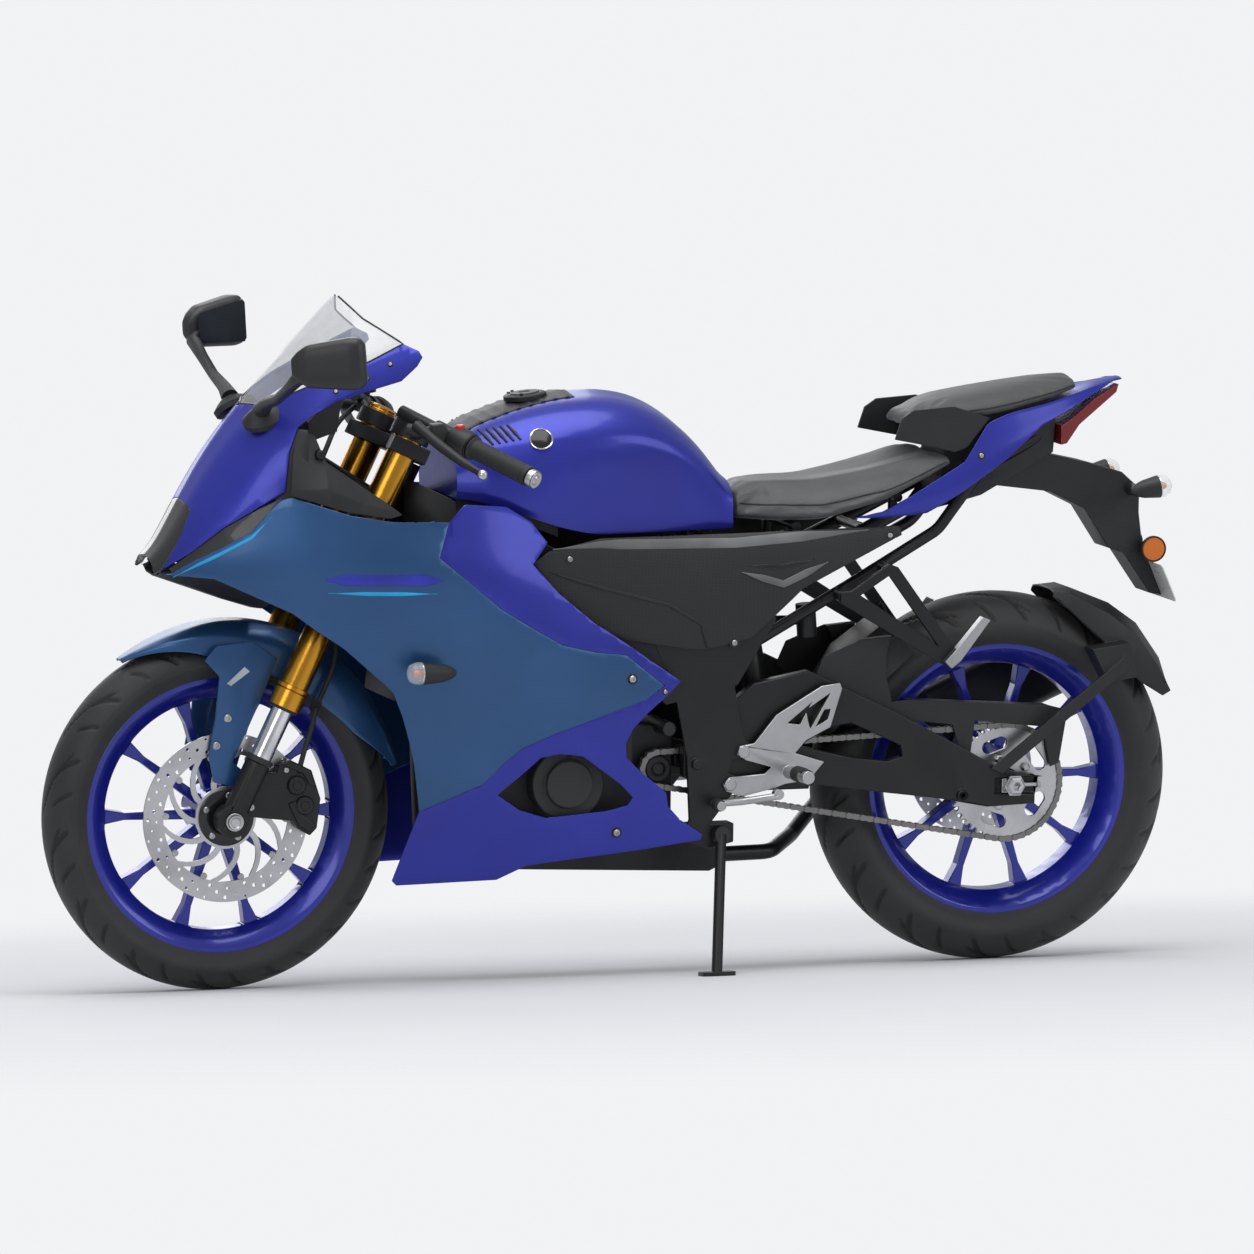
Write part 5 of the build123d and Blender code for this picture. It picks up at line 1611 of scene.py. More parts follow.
@dataclass
class Wheels:
    """Tyres, discs and driven parts."""

    shop: Workshop
    chain: ChainSize = ChainSize()

    TYRES: ClassVar[tuple[TyreSize, ...]] = (
        TyreSize("front_tread", "front_tyre", Body.FRONT_WHEEL, FRONT_AXLE, 296, 50, 52, 33, 14),
        TyreSize("rear_tread", "rear_tyre", Body.REAR_WHEEL, REAR_AXLE, 314, 70, 74, 48.5, 14),
    )
    DISCS: ClassVar[tuple[DiscSize, ...]] = (
        DiscSize("front_disc_plate", "front_disc", Body.FRONT_WHEEL, FRONT_AXLE, 61, 141, 10),
        DiscSize("rear_disc_plate", "rear_disc", Body.REAR_WHEEL, REAR_AXLE, -82, 110, 6),
    )

    def build(self) -> None:
        """Makes what turns."""
        for tyre in self.TYRES:
            self._tyre(tyre)
        for node, body, width in (
            ("front_wheel", Body.FRONT_WHEEL, 1.6),
            ("rear_wheel", Body.REAR_WHEEL, 1.6),
            ("rear_sprocket", Body.REAR_WHEEL, 0.5),
        ):
            self.shop.soften(node, body, width, sharp=30.0)
        for disc in self.DISCS:
            self._disc(disc)
        self._hub_parts()
        self._chain()

    def _disc(self, size: DiscSize) -> None:
        """Makes one drilled disc with swept arms.

        Args:
            size: Its size.
        """

        def spot(reach: float, turn: float) -> tuple[float, float]:
            """The (x, z) at a distance and angle from the axle."""
            return size.centre.x + reach * math.cos(turn), size.centre.z + reach * math.sin(turn)

        def edge(x: float, z: float, radius: float, count: int) -> Outline:
            """The corners of a round edge about a place."""
            return tuple((x + ahead, z + up) for ahead, up in circle(count, radius))

        low, high = size.low, size.radius - size.ring
        middle = (size.centre.x, size.centre.z)
        loops = [edge(*middle, size.radius, 120), edge(*middle, size.hub, 60)]
        for arm in range(size.arms):
            start = math.tau * arm / size.arms
            wide = math.tau / size.arms - size.foot / low
            narrow = math.tau / size.arms - size.tip / high
            up = [(low + (high - low) * i / 6, start + size.sweep * (i / 6) ** 1.3) for i in range(7)]
            over = [(high, start + size.sweep + narrow * i / 5) for i in range(1, 5)]
            back = [(r, t + wide + (narrow - wide) * (r - low) / (high - low)) for r, t in reversed(up)]
            under = [(low, start + wide * (1 - i / 5)) for i in range(1, 5)]
            loops.append(tuple(spot(r, t) for r, t in up + over + back + under))
        for group in range(size.groups):
            for index, inset in enumerate(size.insets):
                reach = size.radius - inset
                turn = math.tau * (group + 0.22 * index) / size.groups
                between = turn + math.tau * 0.5 / size.groups
                loops.append(edge(*spot(reach, turn), size.hole, 10))
                loops.append(edge(*spot(reach + 3, between), size.small_hole, 8))
        plate = Shape().pierced(loops, size.line - size.wall / 2, size.line + size.wall / 2)
        self.shop.piece(size.name, plate, "disc_steel", size.body, (size.node,), sharp=30.0)

    def _chain(self) -> None:
        """Makes the roller chain on its pitch line."""
        size = self.chain
        pins = size.pins()
        chain = Shape()
        for link, (first, second) in enumerate(zip(pins, pins[1:] + pins[:1])):
            along = (second - first).normalized()
            over = Vector((-along.z, 0, along.x))
            outline = []
            for end, sign in ((first, -size.end), (second, size.end)):
                for step in range(5):
                    turn = math.radians(-64 + 32 * step)
                    spot = end + along * (math.cos(turn) * sign) + over * (math.sin(turn) * sign)
                    outline.append((spot.x, spot.z))
                middle = (first + second) / 2 + over * math.copysign(size.waist, sign)
                outline.append((middle.x, middle.z))
            for side in SIDES:
                near = size.line + side * (size.half - size.inset * (link % 2))
                chain.slab(tuple(outline), near, near + side * size.wall)
            chain.lathe(size.roller, first + Vector((0, size.line, 0)), LEFT, 10)
        self.shop.piece("chain_links", chain, "chain_steel", replaces=("chain",), sharp=30.0)

    def _tyre(self, size: TyreSize) -> None:
        """Makes one tyre with its grooves.

        Args:
            size: Its size.
        """
        turn_centre = size.radius - size.crown
        limit = math.asin(min(0.97, (size.half - 0.4) / size.crown))
        angles = [limit * index / 22 for index in range(-22, 23)]
        outer = [(size.crown * math.sin(a), turn_centre + size.crown * math.cos(a)) for a in angles]
        low = outer[-1][1]
        foot, seat = size.bead, size.seat
        wall = [
            (size.half - 0.6, low - 7),
            (size.half - 2, (low + seat + 20) / 2),
            (foot + (size.half - foot) * 0.55, seat + 18),
            (foot + 1.5, seat + 8),
            (foot, seat),
        ]
        inner = [(foot - 7, seat + 1), (foot - 4, seat + 16), (0, seat + 42)]
        right = [(-y, r) for y, r in reversed(inner[:-1])]
        profile = outer + wall + inner + right + [(-y, r) for y, r in reversed(wall)]
        shape = Shape()
        verts = [shape.grid.verts.new(size.centre + Vector((0, y, r))) for y, r in profile]
        edges = [shape.grid.edges.new(pair) for pair in zip(verts, verts[1:] + verts[:1])]
        steps = FULL_STEPS
        bmesh.ops.spin(
            shape.grid, geom=verts + edges, cent=size.centre, axis=LEFT, angle=math.tau, steps=steps,
            use_merge=True,
        )
        # Each point's share of the full groove depth; the tyre's material paints shade in the grooves from
        # it.
        groove = shape.grid.verts.layers.float.new("groove")
        for vert in shape.grid.verts:
            x, y, z = vert.co - size.centre
            radius = math.hypot(x, z)
            if radius > low - 1 and abs(y) < size.half - 1:
                depth = self._groove(size, math.atan2(z, x), y)
                share = 1 - depth / radius
                vert.co = size.centre + Vector((x * share, y, z * share))
                vert[groove] = depth / size.groove
        self.shop.piece(size.name, shape, "tyre", size.body, (size.node,), sharp=40.0)

    @staticmethod
    def _groove(size: TyreSize, turn: float, out: float) -> float:
        """Depth of the tread's grooves at a place.

        Args:
            size: The tyre.
            turn: Angle about the axle.
            out: Distance from the centre plane.

        Returns:
            The depth.
        """
        pitch = math.tau * size.radius / size.pitches
        along = turn * size.radius + (pitch / 2 if out < 0.0 else 0.0)
        reach = abs(out) / size.half
        depth = 0.0
        for start, end, lead, sweep, half in (
            (0.07, 0.82, 0, 0.95, 5.2),
            (0.34, 0.98, 0.46, 0.42, 4.8),
            (0.52, 0.99, 0.16, 0.24, 3.8),
        ):
            if start < reach < end:
                share = (reach - start) / (end - start)
                line = pitch * (lead + sweep * share**0.8)
                gap = (along - line + pitch / 2) % pitch - pitch / 2
                taper = min(1, share * 6, (1 - share) * 6)
                depth = max(depth, size.groove * taper * max(0, min(1, 1.6 - abs(gap) / half)))
        return depth

    def _hub_parts(self) -> None:
        """Makes the disc bolts, the disc's carrier and the sprocket's nuts."""
        seat = FRONT_AXLE + Vector((0, self.DISCS[0].line, 0))
        ring = Shape().lathe(
            ((22, 2.6), (24, 7), (30, 8), (43, 7.4), (47, 5.4), (47, 2.4), (22, 2.4)),
            seat, LEFT, 60,
        )
        self.shop.piece("front_carrier", ring, "gloss_black", Body.FRONT_WHEEL)
        bolts = Shape()
        for spot in bolt_circle(seat, 5, 38, 7.4, 0.4):
            bolts.screw(spot, LEFT, 5.4)
        for spot in bolt_circle(seat, 10, 103, 2.4, 0.68):
            bolts.lathe(((0, 1.6), (3.4, 1.6), (5.4, 1), (5.8, 0), (5.8, -1)), spot, LEFT, 16)
        self.shop.piece("front_disc_bolts", bolts, "alloy", Body.FRONT_WHEEL)
        nuts = Shape()
        for spot in bolt_circle(REAR_AXLE, 5, 42, 93):
            nuts.lathe(((0, 7), (5, 7), (7.4, 5), (7.4, -4)), spot, LEFT, 6)
        self.shop.piece("sprocket_nuts", nuts, "disc_steel", Body.REAR_WHEEL, sharp=20.0)


# ---------------- controls and small parts


@dataclass
class Controls:
    """Fork, bars, mirrors and what the rider's hands and feet reach."""

    shop: Workshop
    bar_root: Point = (406, 132, 972)
    bar_tip: Point = (252, 352, 884)
    control_up: Point = (0.1, 0, 1)
    mirror_centre: Point = (592, 338, 1074)
    mirror_way: Point = (-106, 47.6, 10)
    mirror_across: Point = (47.6, 106, 0)

    def build(self) -> None:
        """Makes the controls."""
        for node, body, width in (
            ("fork_tubes", Body.STEERING, 0.6),
            ("fork_bottoms", Body.STEERING, 1.2),
            ("triple_clamps", Body.STEERING, 1.6),
            ("handlebars", Body.STEERING, 0.8),
            ("bar_controls", Body.STEERING, 1),
            ("front_caliper", Body.STEERING, 1.6),
            ("fork_sliders", Body.STEERING, 0.3),
            ("front_axle", Body.STEERING, 0.6),
            ("footrests", Body.FRAME, 1.2),
            ("pillion_hangers", Body.FRAME, 1.4),
            ("foot_controls", Body.FRAME, 0.6),
            ("side_stand", Body.STAND, 0.8),
        ):
            self.shop.soften(node, body, width)
        self._fork()
        self._caliper()
        self._brake_hose()
        self._grips()
        self._switches()
        self._fluid_tank()
        self._mirror_shells()
        self._mirror_feet()
        self._mirror_glasses()
        self._feet()

    def _fork(self) -> None:
        """Makes the fork's rings, seals and caps, the axle's ends and the caliper's screws."""
        rings, seals, caps, screws = (Shape() for _ in range(4))
        for side in SIDES:
            rings.lathe(((25.2, 0), (28.6, 1), (28.6, 7), (25.2, 8)), fork_point(236, side), STEER_UP, 36)
            seals.lathe(((18.6, -3), (24, -2.4), (25, 1), (25, 3)), fork_point(203, side), STEER_UP, 36)
            seals.lathe(((18.6, 0), (22.6, 0.6), (23, 9), (18.6, 10)), fork_point(105, side), STEER_UP, 36)
            caps.lathe(
                ((0, 6), (8, 6), (9, 8), (20, 7), (24, 4), (24, -1)),
                fork_point(722, side), STEER_UP, 24,
            )
            screws.lathe(
                ((0, 4), (7, 4), (9, 6.4), (12, 6), (13, 3), (13, -3)),
                FRONT_AXLE + Vector((0, side * 119, 0)), (0, side, 0), 24,
            )
        caps.lathe(
            ((0, 12), (14, 12), (16, 10), (16, 0)),
            FRONT_AXLE - STEER_AHEAD * 40 + STEER_UP * 696, STEER_UP, 6,
        )
        for x, z, size in ((640, 362, 6), (644, 316, 6), (584, 376, 5), (548, 284, 5)):
            screws.screw((x, 87.2, z), LEFT, size)
        self.shop.piece("fork_rings", rings, "gold", Body.STEERING)
        self.shop.piece("fork_seals", seals, "rubber", Body.STEERING)
        self.shop.piece("fork_caps", caps, "gold", Body.STEERING)
        self.shop.piece("fork_screws", screws, "disc_steel", Body.STEERING)

    def _caliper(self) -> None:
        """Makes the front caliper's body over its two pistons."""
        body = Shape()
        for x, z in ((566, 350), (552, 316)):
            body.lathe(((0, 7), (7, 7), (8, 5.6), (14, 5.4), (16, 3), (16.6, -2)), (x, 87, z), LEFT, 28)
        body.slab(((592, 386), (578, 390), (544, 374), (534, 346), (544, 350), (556, 370)), 84, 92, 2)
        body.slab(
            ((580, 320), (562, 282), (544, 270), (534, 282), (544, 292), (560, 304), (568, 324)),
            84, 91, 2,
        )
        self.shop.piece("caliper_body", body, "frame_black", Body.STEERING)

    def _brake_hose(self) -> None:
        """Makes the hose from the front caliper to the master cylinder, past the front of both clamps."""
        route = smooth_line(HOSE_ROUTE, 6)
        self.shop.piece("brake_hose", Shape().tube(route, 4.4, 12), "rubber", Body.STEERING)
        clip = Shape().tube(((531, 66, 472), (530, 84, 486)), 7.4, 12)
        clip.slab(((544, 462), (536, 458), (522, 484), (530, 490)), 76, 82, 1.5)
        for place in (route[1], route[-2]):
            clip.ball(place, 7, (1, 1, 1.3))
        self.shop.piece("hose_fittings", clip, "frame_black", Body.STEERING)

    @property
    def bar_way(self) -> Vector:
        """The way the left bar runs."""
        return (Vector(self.bar_tip) - Vector(self.bar_root)).normalized()

    @property
    def bar_length(self) -> float:
        """Length of one bar."""
        return (Vector(self.bar_tip) - Vector(self.bar_root)).length

    def on_bar(self, share: float) -> Vector:
        """A place on the left bar, at a share of its length from the root."""
        return Vector(self.bar_root) + self.bar_way * self.bar_length * share

    def _grips(self) -> None:
        """Makes the ribbed grips and the weights on the bars' ends."""
        length = self.bar_length * 0.44
        profile = [(11.5, 0), (20, 0.6), (20.6, 3), (16.6, 7)]
        for index in range(19):
            place = 10 + (length - 26) * index / 18
            profile += [(16.9, place), (15.9, place + 2), (15.9, place + 3.2), (16.9, place + 4.4)]
        profile += [(17.6, length - 8), (17, length - 1), (11.5, length)]
        grip = Shape().lathe(tuple(profile), self.on_bar(0.555), self.bar_way, 28)
        self.shop.piece("grip_sleeves", grip.mirrored(), "rubber", Body.STEERING, ("grips",), sharp=50.0)
        ends = Shape().lathe(
            ((0, 14.4), (6, 14.4), (8, 12.6), (11, 13), (14, 12.6), (15.4, 10), (15.4, 0.4)),
            self.bar_tip, self.bar_way, 28,
        )
        ends.ball((334.5, 354.5, 890.5), 8.6)
        self.shop.piece("bar_ends", ends.mirrored(), "disc_steel", Body.STEERING)

    def _switches(self) -> None:
        """Makes the switch bodies with the levers, and the buttons."""
        centre = self.on_bar(0.475)
        pods = Shape().lathe(
            ((12, -20), (22.4, -19), (24, -14), (24, 14), (22.4, 19), (12, 20)),
            centre, self.bar_way, 18,
        )
        pods.slab(((388, 938), (366, 930), (352, 944), (362, 962), (382, 960)), 206, 236, 3)
        pods.tube(
            ((402, 206, 956), (392, 232, 944), (379, 272, 928), (358, 314, 908), (338, 348, 894)),
            (10, 9, 8.6, 7.4, 5.6), 14,
        )
        pods.tube(((414, 190, 950), (400, 196, 946), (384, 214, 944)), (9, 11, 9), 14)
        self.shop.piece("switch_bodies", pods.mirrored(), "black_trim", Body.STEERING)
        button = Shape().lathe(
            ((0, 6), (6, 5.6), (8, 3.6), (8, -4)),
            centre + Vector((4, 0, 24)), self.control_up, 20,
        )
        for out, rise in ((18, 8), (20, -6)):
            button.ball(centre + Vector((-4, out, rise)), 4.4, (1.4, 0.8, 0.8))
        self.shop.piece("switch_buttons", button, "red_button", Body.STEERING)

    def _fluid_tank(self) -> None:
        """Makes the brake's fluid tank on the right bar."""
        foot = Vector((372, -176, 968))
        tank = Shape().lathe(
            ((0, 38), (18, 38), (20, 36), (20, 30), (18, 29), (17, 2), (0, 0)),
            foot, self.control_up, 28,
        )
        tank.tube((foot + Vector((0, 0, 2)), foot + Vector((2, 0, -16))), 7)
        for spread in (11, -11):
            tank.screw(foot + Vector((4 + spread, spread, 38.6)), self.control_up, 2.6)
        self.shop.piece("fluid_tank", tank, "gloss_black", Body.STEERING)

    @property
    def mirror_up(self) -> Vector:
        """The way up the mirror's glass."""
        return Vector(self.mirror_across).normalized().cross(Vector(self.mirror_way).normalized())

    def _mirror_shells(self) -> None:
        """Makes the mirrors' shells with their necks."""
        way, across = Vector(self.mirror_way), Vector(self.mirror_across).normalized()
        table = Skin(MIRROR_STATIONS, 0.03, 0.1)
        rings = []
        for step in range(25):
            share = -0.52 + 1.04 * step / 24
            wide, tall = table.at(share, 0)
            ring = []
            for cos, sin in circle(36):
                power = (abs(cos) ** 4 + abs(sin) ** 4) ** -0.25
                spread = across * (wide * cos * power) + self.mirror_up * (tall * sin * power)
                ring.append(Vector(self.mirror_centre) + way * share + spread)
            rings.append(ring)
        shell = Shape().hull(rings)
        shell.tube(
            (
                (633, 93, 976), (634, 126, 990), (634, 190, 1004),
                (635, 250, 1026), (636, 305, 1048), (624, 319, 1060),
            ),
            (15, 11, 9, 9.5, 12, 16), 20,
        )
        self.shop.piece("mirror_shells", shell.mirrored(), "mirror_shell", replaces=("mirrors",), sharp=45.0)

    def _mirror_feet(self) -> None:
        """Makes the feet of the mirrors' necks."""
        seat = Vector((628, 88, 964))
        foot = Shape().lathe(
            ((0, 16), (12, 15), (22, 8), (31, 0), (31, -9), (0, -9)),
            seat, (0.4, 0.42, 0.81), 28,
        )
        longer = Matrix.Diagonal((1.25, 0.75, 1, 1))
        there = Matrix.Translation(seat)
        bmesh.ops.transform(foot.grid, matrix=there @ longer @ there.inverted(), verts=foot.grid.verts)
        self.shop.piece("mirror_feet", foot.mirrored(), "black_trim")

    def _mirror_glasses(self) -> None:
        """Makes the mirrors' glasses."""
        glass = Shape()
        way, back = Vector(self.mirror_way), -Vector(self.mirror_across).normalized()
        corners = [
            Vector(self.mirror_centre) + way * share + back * 22.4 + self.mirror_up * rise
            for share, rise in MIRROR_GLASS
        ]
        face = glass.grid.faces.new([glass.grid.verts.new(spot) for spot in corners])
        glass.grow([face], back * 1.2)
        self.shop.piece("mirror_glasses", glass.mirrored(), "mirror_glass", sharp=30.0)

    def _feet(self) -> None:
        """Makes the rubbers of the footrests and the pedal."""
        rubber = Shape().lathe(
            (
                (11.4, 0), (13.4, 1), (13.4, 14), (12, 15), (13.4, 16),
                (13.4, 30), (12, 31), (12.4, 46), (9, 48),
            ),
            (-279, 172, 353.2), (-0.045, 1, 0.02), 20,
        )
        rubber.lathe(((8.4, 0), (10, 1), (10, 22), (8.4, 23)), (-144, 152, 304), LEFT, 18)
        self.shop.piece("foot_rubbers", rubber.mirrored(), "rubber")


@dataclass
class Chassis:
    """Frame, engine, swingarm and the parts that hang on them."""

    shop: Workshop
    cover_seat: Point = (110, 118, 346)
    reflector_seat: Point = (-953.2, 56.2, 699)

    def build(self) -> None:
        """Makes the chassis parts."""
        for node, width in (
            ("frame", 1.8),
            ("subframe", 1),
            ("engine", 2.2),
            ("swingarm", 2.4),
            ("rear_guards", 1),
            ("under_tail", 1.6),
            ("muffler", 2),
            ("exhaust_pipe", 0.4),
            ("rear_caliper", 1.4),
            ("rear_axle", 0.8),
            ("radiator", 0.8),
            ("cockpit_panels", 0.8),
            ("seat_trims", 1),
            ("tail_lamp", 1.6),
            ("number_plate", 0.4),
            ("position_lamps", 0.5),
            ("shock_absorber", 0.6),
        ):
            self.shop.soften(node, Body.FRAME, width)
        self._engine()
        self._rear()
        self._reflectors()
        self._signals()

    def _engine(self) -> None:
        """Makes the engine cover and its bolts."""
        seat = Vector(self.cover_seat)
        cover = Shape().lathe(
            ((0, 9), (22, 9), (25, 7), (46, 6), (50, 3), (56, 2), (56, -14)),
            seat, LEFT, 48,
        )
        cover.lathe(((0, 12), (9, 12), (11, 10), (11, 6)), seat, LEFT, 6)
        self.shop.piece("engine_cover_disc", cover, "engine_alloy")
        bolts = Shape()
        for spot in bolt_circle(seat, 7, 52, 2.4):
            bolts.screw(spot, LEFT, 4.4)
        self.shop.piece("engine_bolts", bolts, "disc_steel")

    def _rear(self) -> None:
        """Makes the axle's nuts, the adjusters' screws and the plate's screws."""
        steel = Shape()
        plate = Shape()
        for side in SIDES:
            steel.lathe(
                ((0, 8), (7, 8), (8, 12), (13, 12), (16, 9), (16, 2), (19, 2), (19, 0)),
                REAR_AXLE + Vector((0, side * 137, 0)), (0, side, 0), 6 if side > 0 else 24,
            )
            steel.tube(((-700, side * 126, 314.6), (-728, side * 126, 314)), 3.4, 10)
            steel.lathe(((0, 5), (6.4, 5), (6.4, -1)), (-724, side * 126, 314.1), (-1, 0, 0), 6)
            plate.screw((-958, side * 60, 664), (-0.91, 0, 0.4), 4)
        self.shop.piece("axle_nuts", steel, "disc_steel", sharp=25.0)
        self.shop.piece("plate_screws", plate, "disc_steel")

    def _reflectors(self) -> None:
        """Makes the amber reflectors in their bezels."""
        lens = Shape().lathe(((0, 1.6), (19, 1.4), (20, 0), (20, -4)), self.reflector_seat, LEFT, 40)
        bezel = Shape().lathe(
            ((0, -8), (21, -7), (22.2, -4), (22.2, 1.4), (20.4, 2.4), (19.6, 0.4), (19.6, -2)),
            self.reflector_seat, LEFT, 40,
        )
        bezel.tube(((-949, 34.6, 702), (-950, 50, 700)), 7)
        self.shop.piece("reflector_lenses", lens.mirrored(), "amber", replaces=("reflectors",))
        self.shop.piece("reflector_bezels", bezel.mirrored(), "black_trim")

    def _signals(self) -> None:
        """Makes the turn signals."""
        shell, lens, bulb, dish = (Shape() for _ in range(4))
        for tail, tip, split in SIGNALS:
            way = Vector(tip) - Vector(tail)
            body = way.length - split
            shell.lathe(
                ((0, -12), (5, -11), (10, -4), (15, 10), (18.4, body - 6), (19.2, body), (18, body + 0.6)),
                tail, way, 32,
            )
            lens.lathe(
                (
                    (18.9, body), (18.6, body + split * 0.4), (15, body + split * 0.8),
                    (8, body + split), (0, body + split + 1),
                ),
                tail, way, 32,
            )
            bulb.lathe(
                ((4, body), (6, body + 3), (6.4, body + 9), (4, body + 14), (0, body + 15.5)),
                tail, way, 18,
            )
            dish.lathe(
                ((0, body + 1), (6, body + 1.2), (17.6, body + 2.4), (17.6, body - 1)),
                tail, way, 32,
            )
        shell.tube(((384, 206, 551), (384, 228, 551)), (11, 9), 18)
        shell.tube(
            ((-918, 34.6, 800), (-918, 70, 800), (-916, 100, 804), (-914, 116, 809)),
            (11, 9, 8, 8.5), 16,
        )
        self.shop.piece("signal_dishes", dish.mirrored(), "chrome")
        self.shop.piece("signal_shells", shell.mirrored(), "black_trim", replaces=("turn_signals",))
        self.shop.piece("signal_lenses", lens.mirrored(), "signal")
        self.shop.piece("signal_bulbs", bulb.mirrored(), "amber")


@dataclass
class Seats:
    """Crowned seat pads with their welts."""

    shop: Workshop
    voxel: float = 0.006
    pressure: float = 4.0
    frames: int = 20
    base_band: float = 0.004

    ROWS: ClassVar[tuple[tuple[str, str, Stations, float], ...]] = (
        ("rider_pad", "rider_seat", RIDER_STATIONS, 7),
        ("pillion_pad", "pillion_seat", PILLION_STATIONS, 6),
    )

    def build(self) -> None:
        """Makes both pads."""
        for name, node, stations, cap in self.ROWS:
            self._pad(name, node, Skin(stations, 18, 0.3), cap)

    def _pad(self, name: str, node: str, skin: Skin, cap: float) -> None:
        """Makes one pad.

        Args:
            name: The pad's name.
            node: The node it stands for.
            skin: Its surface.
            cap: How far the filling may push a point, in millimetres.
        """
        shape = skin.body(8, 20)
        for vert in shape.grid.verts:
            middle = Vector((vert.co.x, 0, sum(skin.at(vert.co.x, 0)[1:]) - 20))
            vert.co = middle + (vert.co - middle) * 0.985
        obj = self.shop.piece(name, shape, "seat", replaces=(node,), sharp=70.0)
        self._fill(obj, cap * MM)
        obj.data.shade_smooth()
        fine = obj.modifiers.new("fine", "SUBSURF")
        fine.levels = 1
        fine.render_levels = 1
        self._welt(name, obj, skin)

    def _fill(self, obj: bpy.types.Object, cap: float) -> None:
        """Blows the pad up a little as its filling does.

        Args:
            obj: The pad.
            cap: How far a point may move, in metres.
        """
        mesh_again = obj.modifiers.new("remesh", "REMESH")
        mesh_again.mode = "VOXEL"
        mesh_again.voxel_size = self.voxel
        self._apply(obj)
        floor = min(vert.co.z for vert in obj.data.vertices)
        pins = obj.vertex_groups.new(name="seat_base")
        band = floor + self.base_band
        base = [vert.index for vert in obj.data.vertices if vert.normal.z < -0.6 or vert.co.z < band]
        pins.add(base, 1, "REPLACE")
        before = [vert.co.copy() for vert in obj.data.vertices]
        cloth = obj.modifiers.new("filling", "CLOTH")
        cloth.settings.use_pressure = True
        cloth.settings.uniform_pressure_force = self.pressure
        cloth.settings.vertex_group_mass = pins.name
        cloth.settings.effector_weights.gravity = 0.0
        for step in range(1, self.frames + 1):
            bpy.context.scene.frame_set(step)
            obj.evaluated_get(bpy.context.evaluated_depsgraph_get())
        self._apply(obj)
        for vert, start in zip(obj.data.vertices, before):
            moved = vert.co - start
            if moved.length > cap:
                vert.co = start + moved * (cap / moved.length)
        bpy.context.scene.frame_set(1)
        obj.vertex_groups.clear()

    @staticmethod
    def _apply(obj: bpy.types.Object) -> None:
        """Makes a piece's modifiers part of its mesh.

        Args:
            obj: The piece.
        """
        graph = bpy.context.evaluated_depsgraph_get()
        fresh = bpy.data.meshes.new_from_object(obj.evaluated_get(graph))
        old = obj.data
        fresh.name = old.name + "_set"
        obj.modifiers.clear()
        obj.data = fresh
        if not fresh.materials:
            fresh.materials.append(old.materials[0])

    def _welt(self, name: str, obj: bpy.types.Object, skin: Skin) -> None:
        """Lays the piping where the pad's top meets its sides.

        Args:
            name: The pad's name.
            obj: The pad.
            skin: The pad's surface.
        """
        tree = bvh_of(obj)
        low, high = sorted((skin.rows[0][0], skin.rows[-1][0]))
        welt = Shape()
        line = []
        for index in range(31):
            x = low + 8 + (high - low - 16) * index / 30
            y, z = skin.at(x, 2)
            spot = LEANED @ (Vector((x, y, z)) * MM)
            found = tree.find_nearest(spot)[0]
            line.append(LEANED.inverted() @ found / MM)
        welt.tube(line, 1.5, 8)
        self.shop.piece(name + "_welt", welt.mirrored(), "rubber")


def bvh_of(obj: bpy.types.Object) -> BVHTree:
    """A search tree over a piece as it shows."""
    graph = bpy.context.evaluated_depsgraph_get()
    return BVHTree.FromObject(obj, graph)


# ---------------- stage


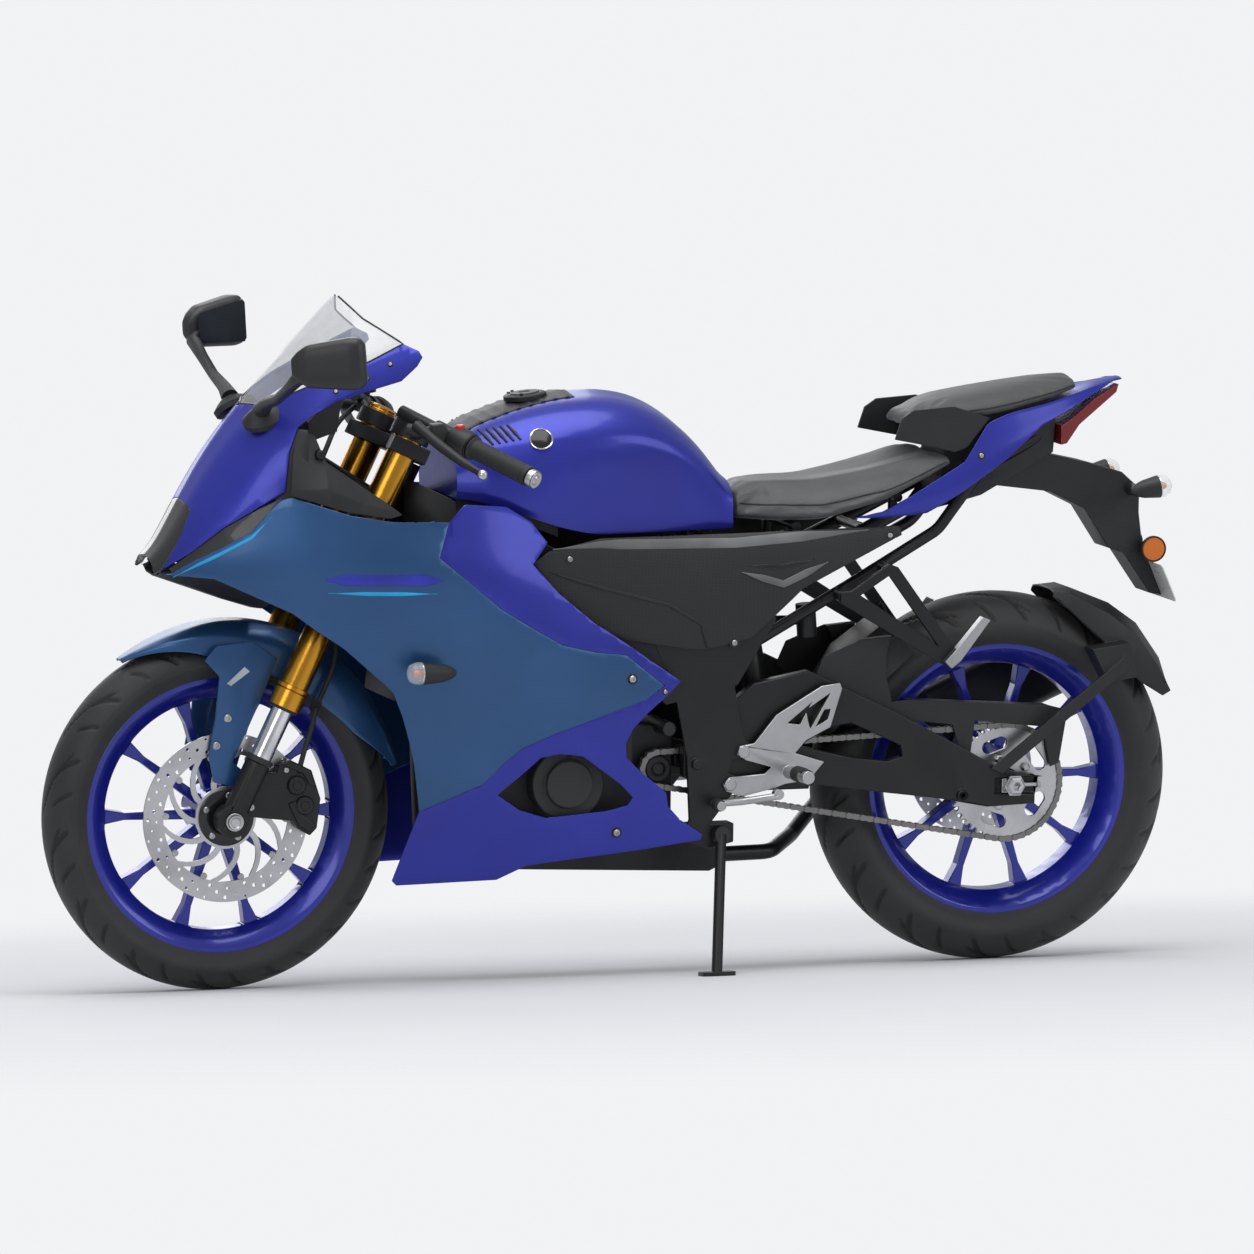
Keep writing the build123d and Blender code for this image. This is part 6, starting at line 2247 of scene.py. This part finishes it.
@dataclass
class Studio:
    """Pale floor, soft lights and the camera."""

    yaw: float = 18.22
    elevation: float = 0.8
    roll: float = -1.46
    distance: float = 17.887
    focal: float = 10693.6
    picture: float = 1254.0
    sensor: float = 36.0
    target: Point = (PARKED_SHIFT.x - 0.0338, PARKED_SHIFT.y + 0.0722, 0.5806)
    backdrop: Colour = (0.885, 0.89, 0.91)
    ambient: Colour = (0.92, 0.95, 1.0)
    ambient_power: float = 0.48

    def build(self) -> None:
        """Makes the camera, world, floor and lamps."""
        self._camera()
        self._world()
        self._floor()
        self._lamp("key_panel", (0.4, 1.2, 5.2), (0.0, 0.0, 0.5), 4.6, 205.0)
        self._lamp("front_panel", (4.5, 5.5, 2.6), (0.0, 0.0, 0.6), 3.2, 70.0)
        self._lamp("rear_panel", (-4.8, 4.5, 2.4), (0.0, 0.0, 0.6), 3.0, 60.0)
        self._lamp("far_panel", (0.0, -5.5, 3.6), (0.0, 0.0, 0.6), 4.0, 95.0)

    def _camera(self) -> None:
        """Makes the camera."""
        yaw, rise, roll = (math.radians(a) for a in (self.yaw, self.elevation, self.roll))
        back = Vector((math.sin(yaw) * math.cos(rise), math.cos(yaw) * math.cos(rise), math.sin(rise)))
        right = (-back).cross(Vector(UP)).normalized()
        up = right.cross(-back)
        across = right * math.cos(roll) + up * math.sin(roll)
        above = up * math.cos(roll) - right * math.sin(roll)
        data = bpy.data.cameras.new("studio_camera")
        data.sensor_width = self.sensor
        data.lens = self.focal / self.picture * self.sensor
        data.clip_end = 200.0
        camera = bpy.data.objects.new("studio_camera", data)
        turn = Matrix((across, above, back)).transposed().to_4x4()
        camera.matrix_world = Matrix.Translation(Vector(self.target) + back * self.distance) @ turn
        bpy.context.scene.collection.objects.link(camera)
        bpy.context.scene.camera = camera

    def _world(self) -> None:
        """Makes the soft surroundings."""
        world = bpy.data.worlds.new("studio")
        bpy.context.scene.world = world
        world.use_nodes = True
        graph = Graph(world.node_tree)
        camera = graph.node("ShaderNodeLightPath", output="Is Camera Ray")
        through = graph.node("ShaderNodeLightPath", output="Is Transmission Ray")
        seen = graph.node("ShaderNodeMath", {"operation": "MAXIMUM"}, {0: camera, 1: through})
        shown = graph.node("ShaderNodeBackground", None, {0: self.backdrop})
        ambient = graph.node("ShaderNodeBackground", None, {0: self.ambient, 1: self.ambient_power})
        mixed = graph.node("ShaderNodeMixShader", None, {0: seen, 1: ambient, 2: shown})
        output = graph.tree.nodes.new("ShaderNodeOutputWorld")
        graph.feed(output.inputs["Surface"], mixed)

    def _floor(self) -> None:
        """Makes a floor that fades into the backdrop."""
        mesh = bpy.data.meshes.new("floor")
        grid = bmesh.new()
        bmesh.ops.create_grid(grid, x_segments=1, y_segments=1, size=16.0)
        grid.to_mesh(mesh)
        grid.free()
        floor = bpy.data.objects.new("floor", mesh)
        bpy.context.scene.collection.objects.link(floor)
        shader = Shader("studio_floor")
        spread = shader.node("ShaderNodeVectorMath", {"operation": "LENGTH"}, {0: shader.position}, 1)
        shader.set(
            Base_Color=shader.mix(shader.noise(1.5), (0.66, 0.665, 0.68), (0.69, 0.695, 0.71)),
            Roughness=0.9,
            Specular_IOR_Level=0.1,
            Alpha=1.0 - spread.band(1.3, 3.4),
        )
        mesh.materials.append(shader.material)

    def _lamp(self, name: str, place: Point, aim: Point, size: float, power: float) -> None:
        """Adds a square soft lamp.

        Args:
            name: The lamp's name.
            place: Where it hangs.
            aim: What it points at.
            size: Side of the square.
            power: Watts.
        """
        data = bpy.data.lights.new(name, "AREA")
        data.shape = "SQUARE"
        data.size = size
        data.energy = power
        lamp = bpy.data.objects.new(name, data)
        direction = Vector(aim) - Vector(place)
        turn = direction.to_track_quat("-Z", "Y").to_matrix().to_4x4()
        lamp.matrix_world = Matrix.Translation(Vector(place)) @ turn
        bpy.context.scene.collection.objects.link(lamp)


def main() -> None:
    """Builds the scene."""
    logging.basicConfig(level=logging.INFO)
    bpy.context.scene.view_settings.view_transform = "Standard"
    Studio().build()
    rack = FinishRack()
    rack.dress_nodes()
    shop = Workshop(rack)
    for group in (Bodywork, Wheels, Controls, Chassis, Seats):
        group(shop).build()
        LOG.info("%s made, %d pieces so far", group.__name__, shop.made)


if __name__ == "__main__":
    main()
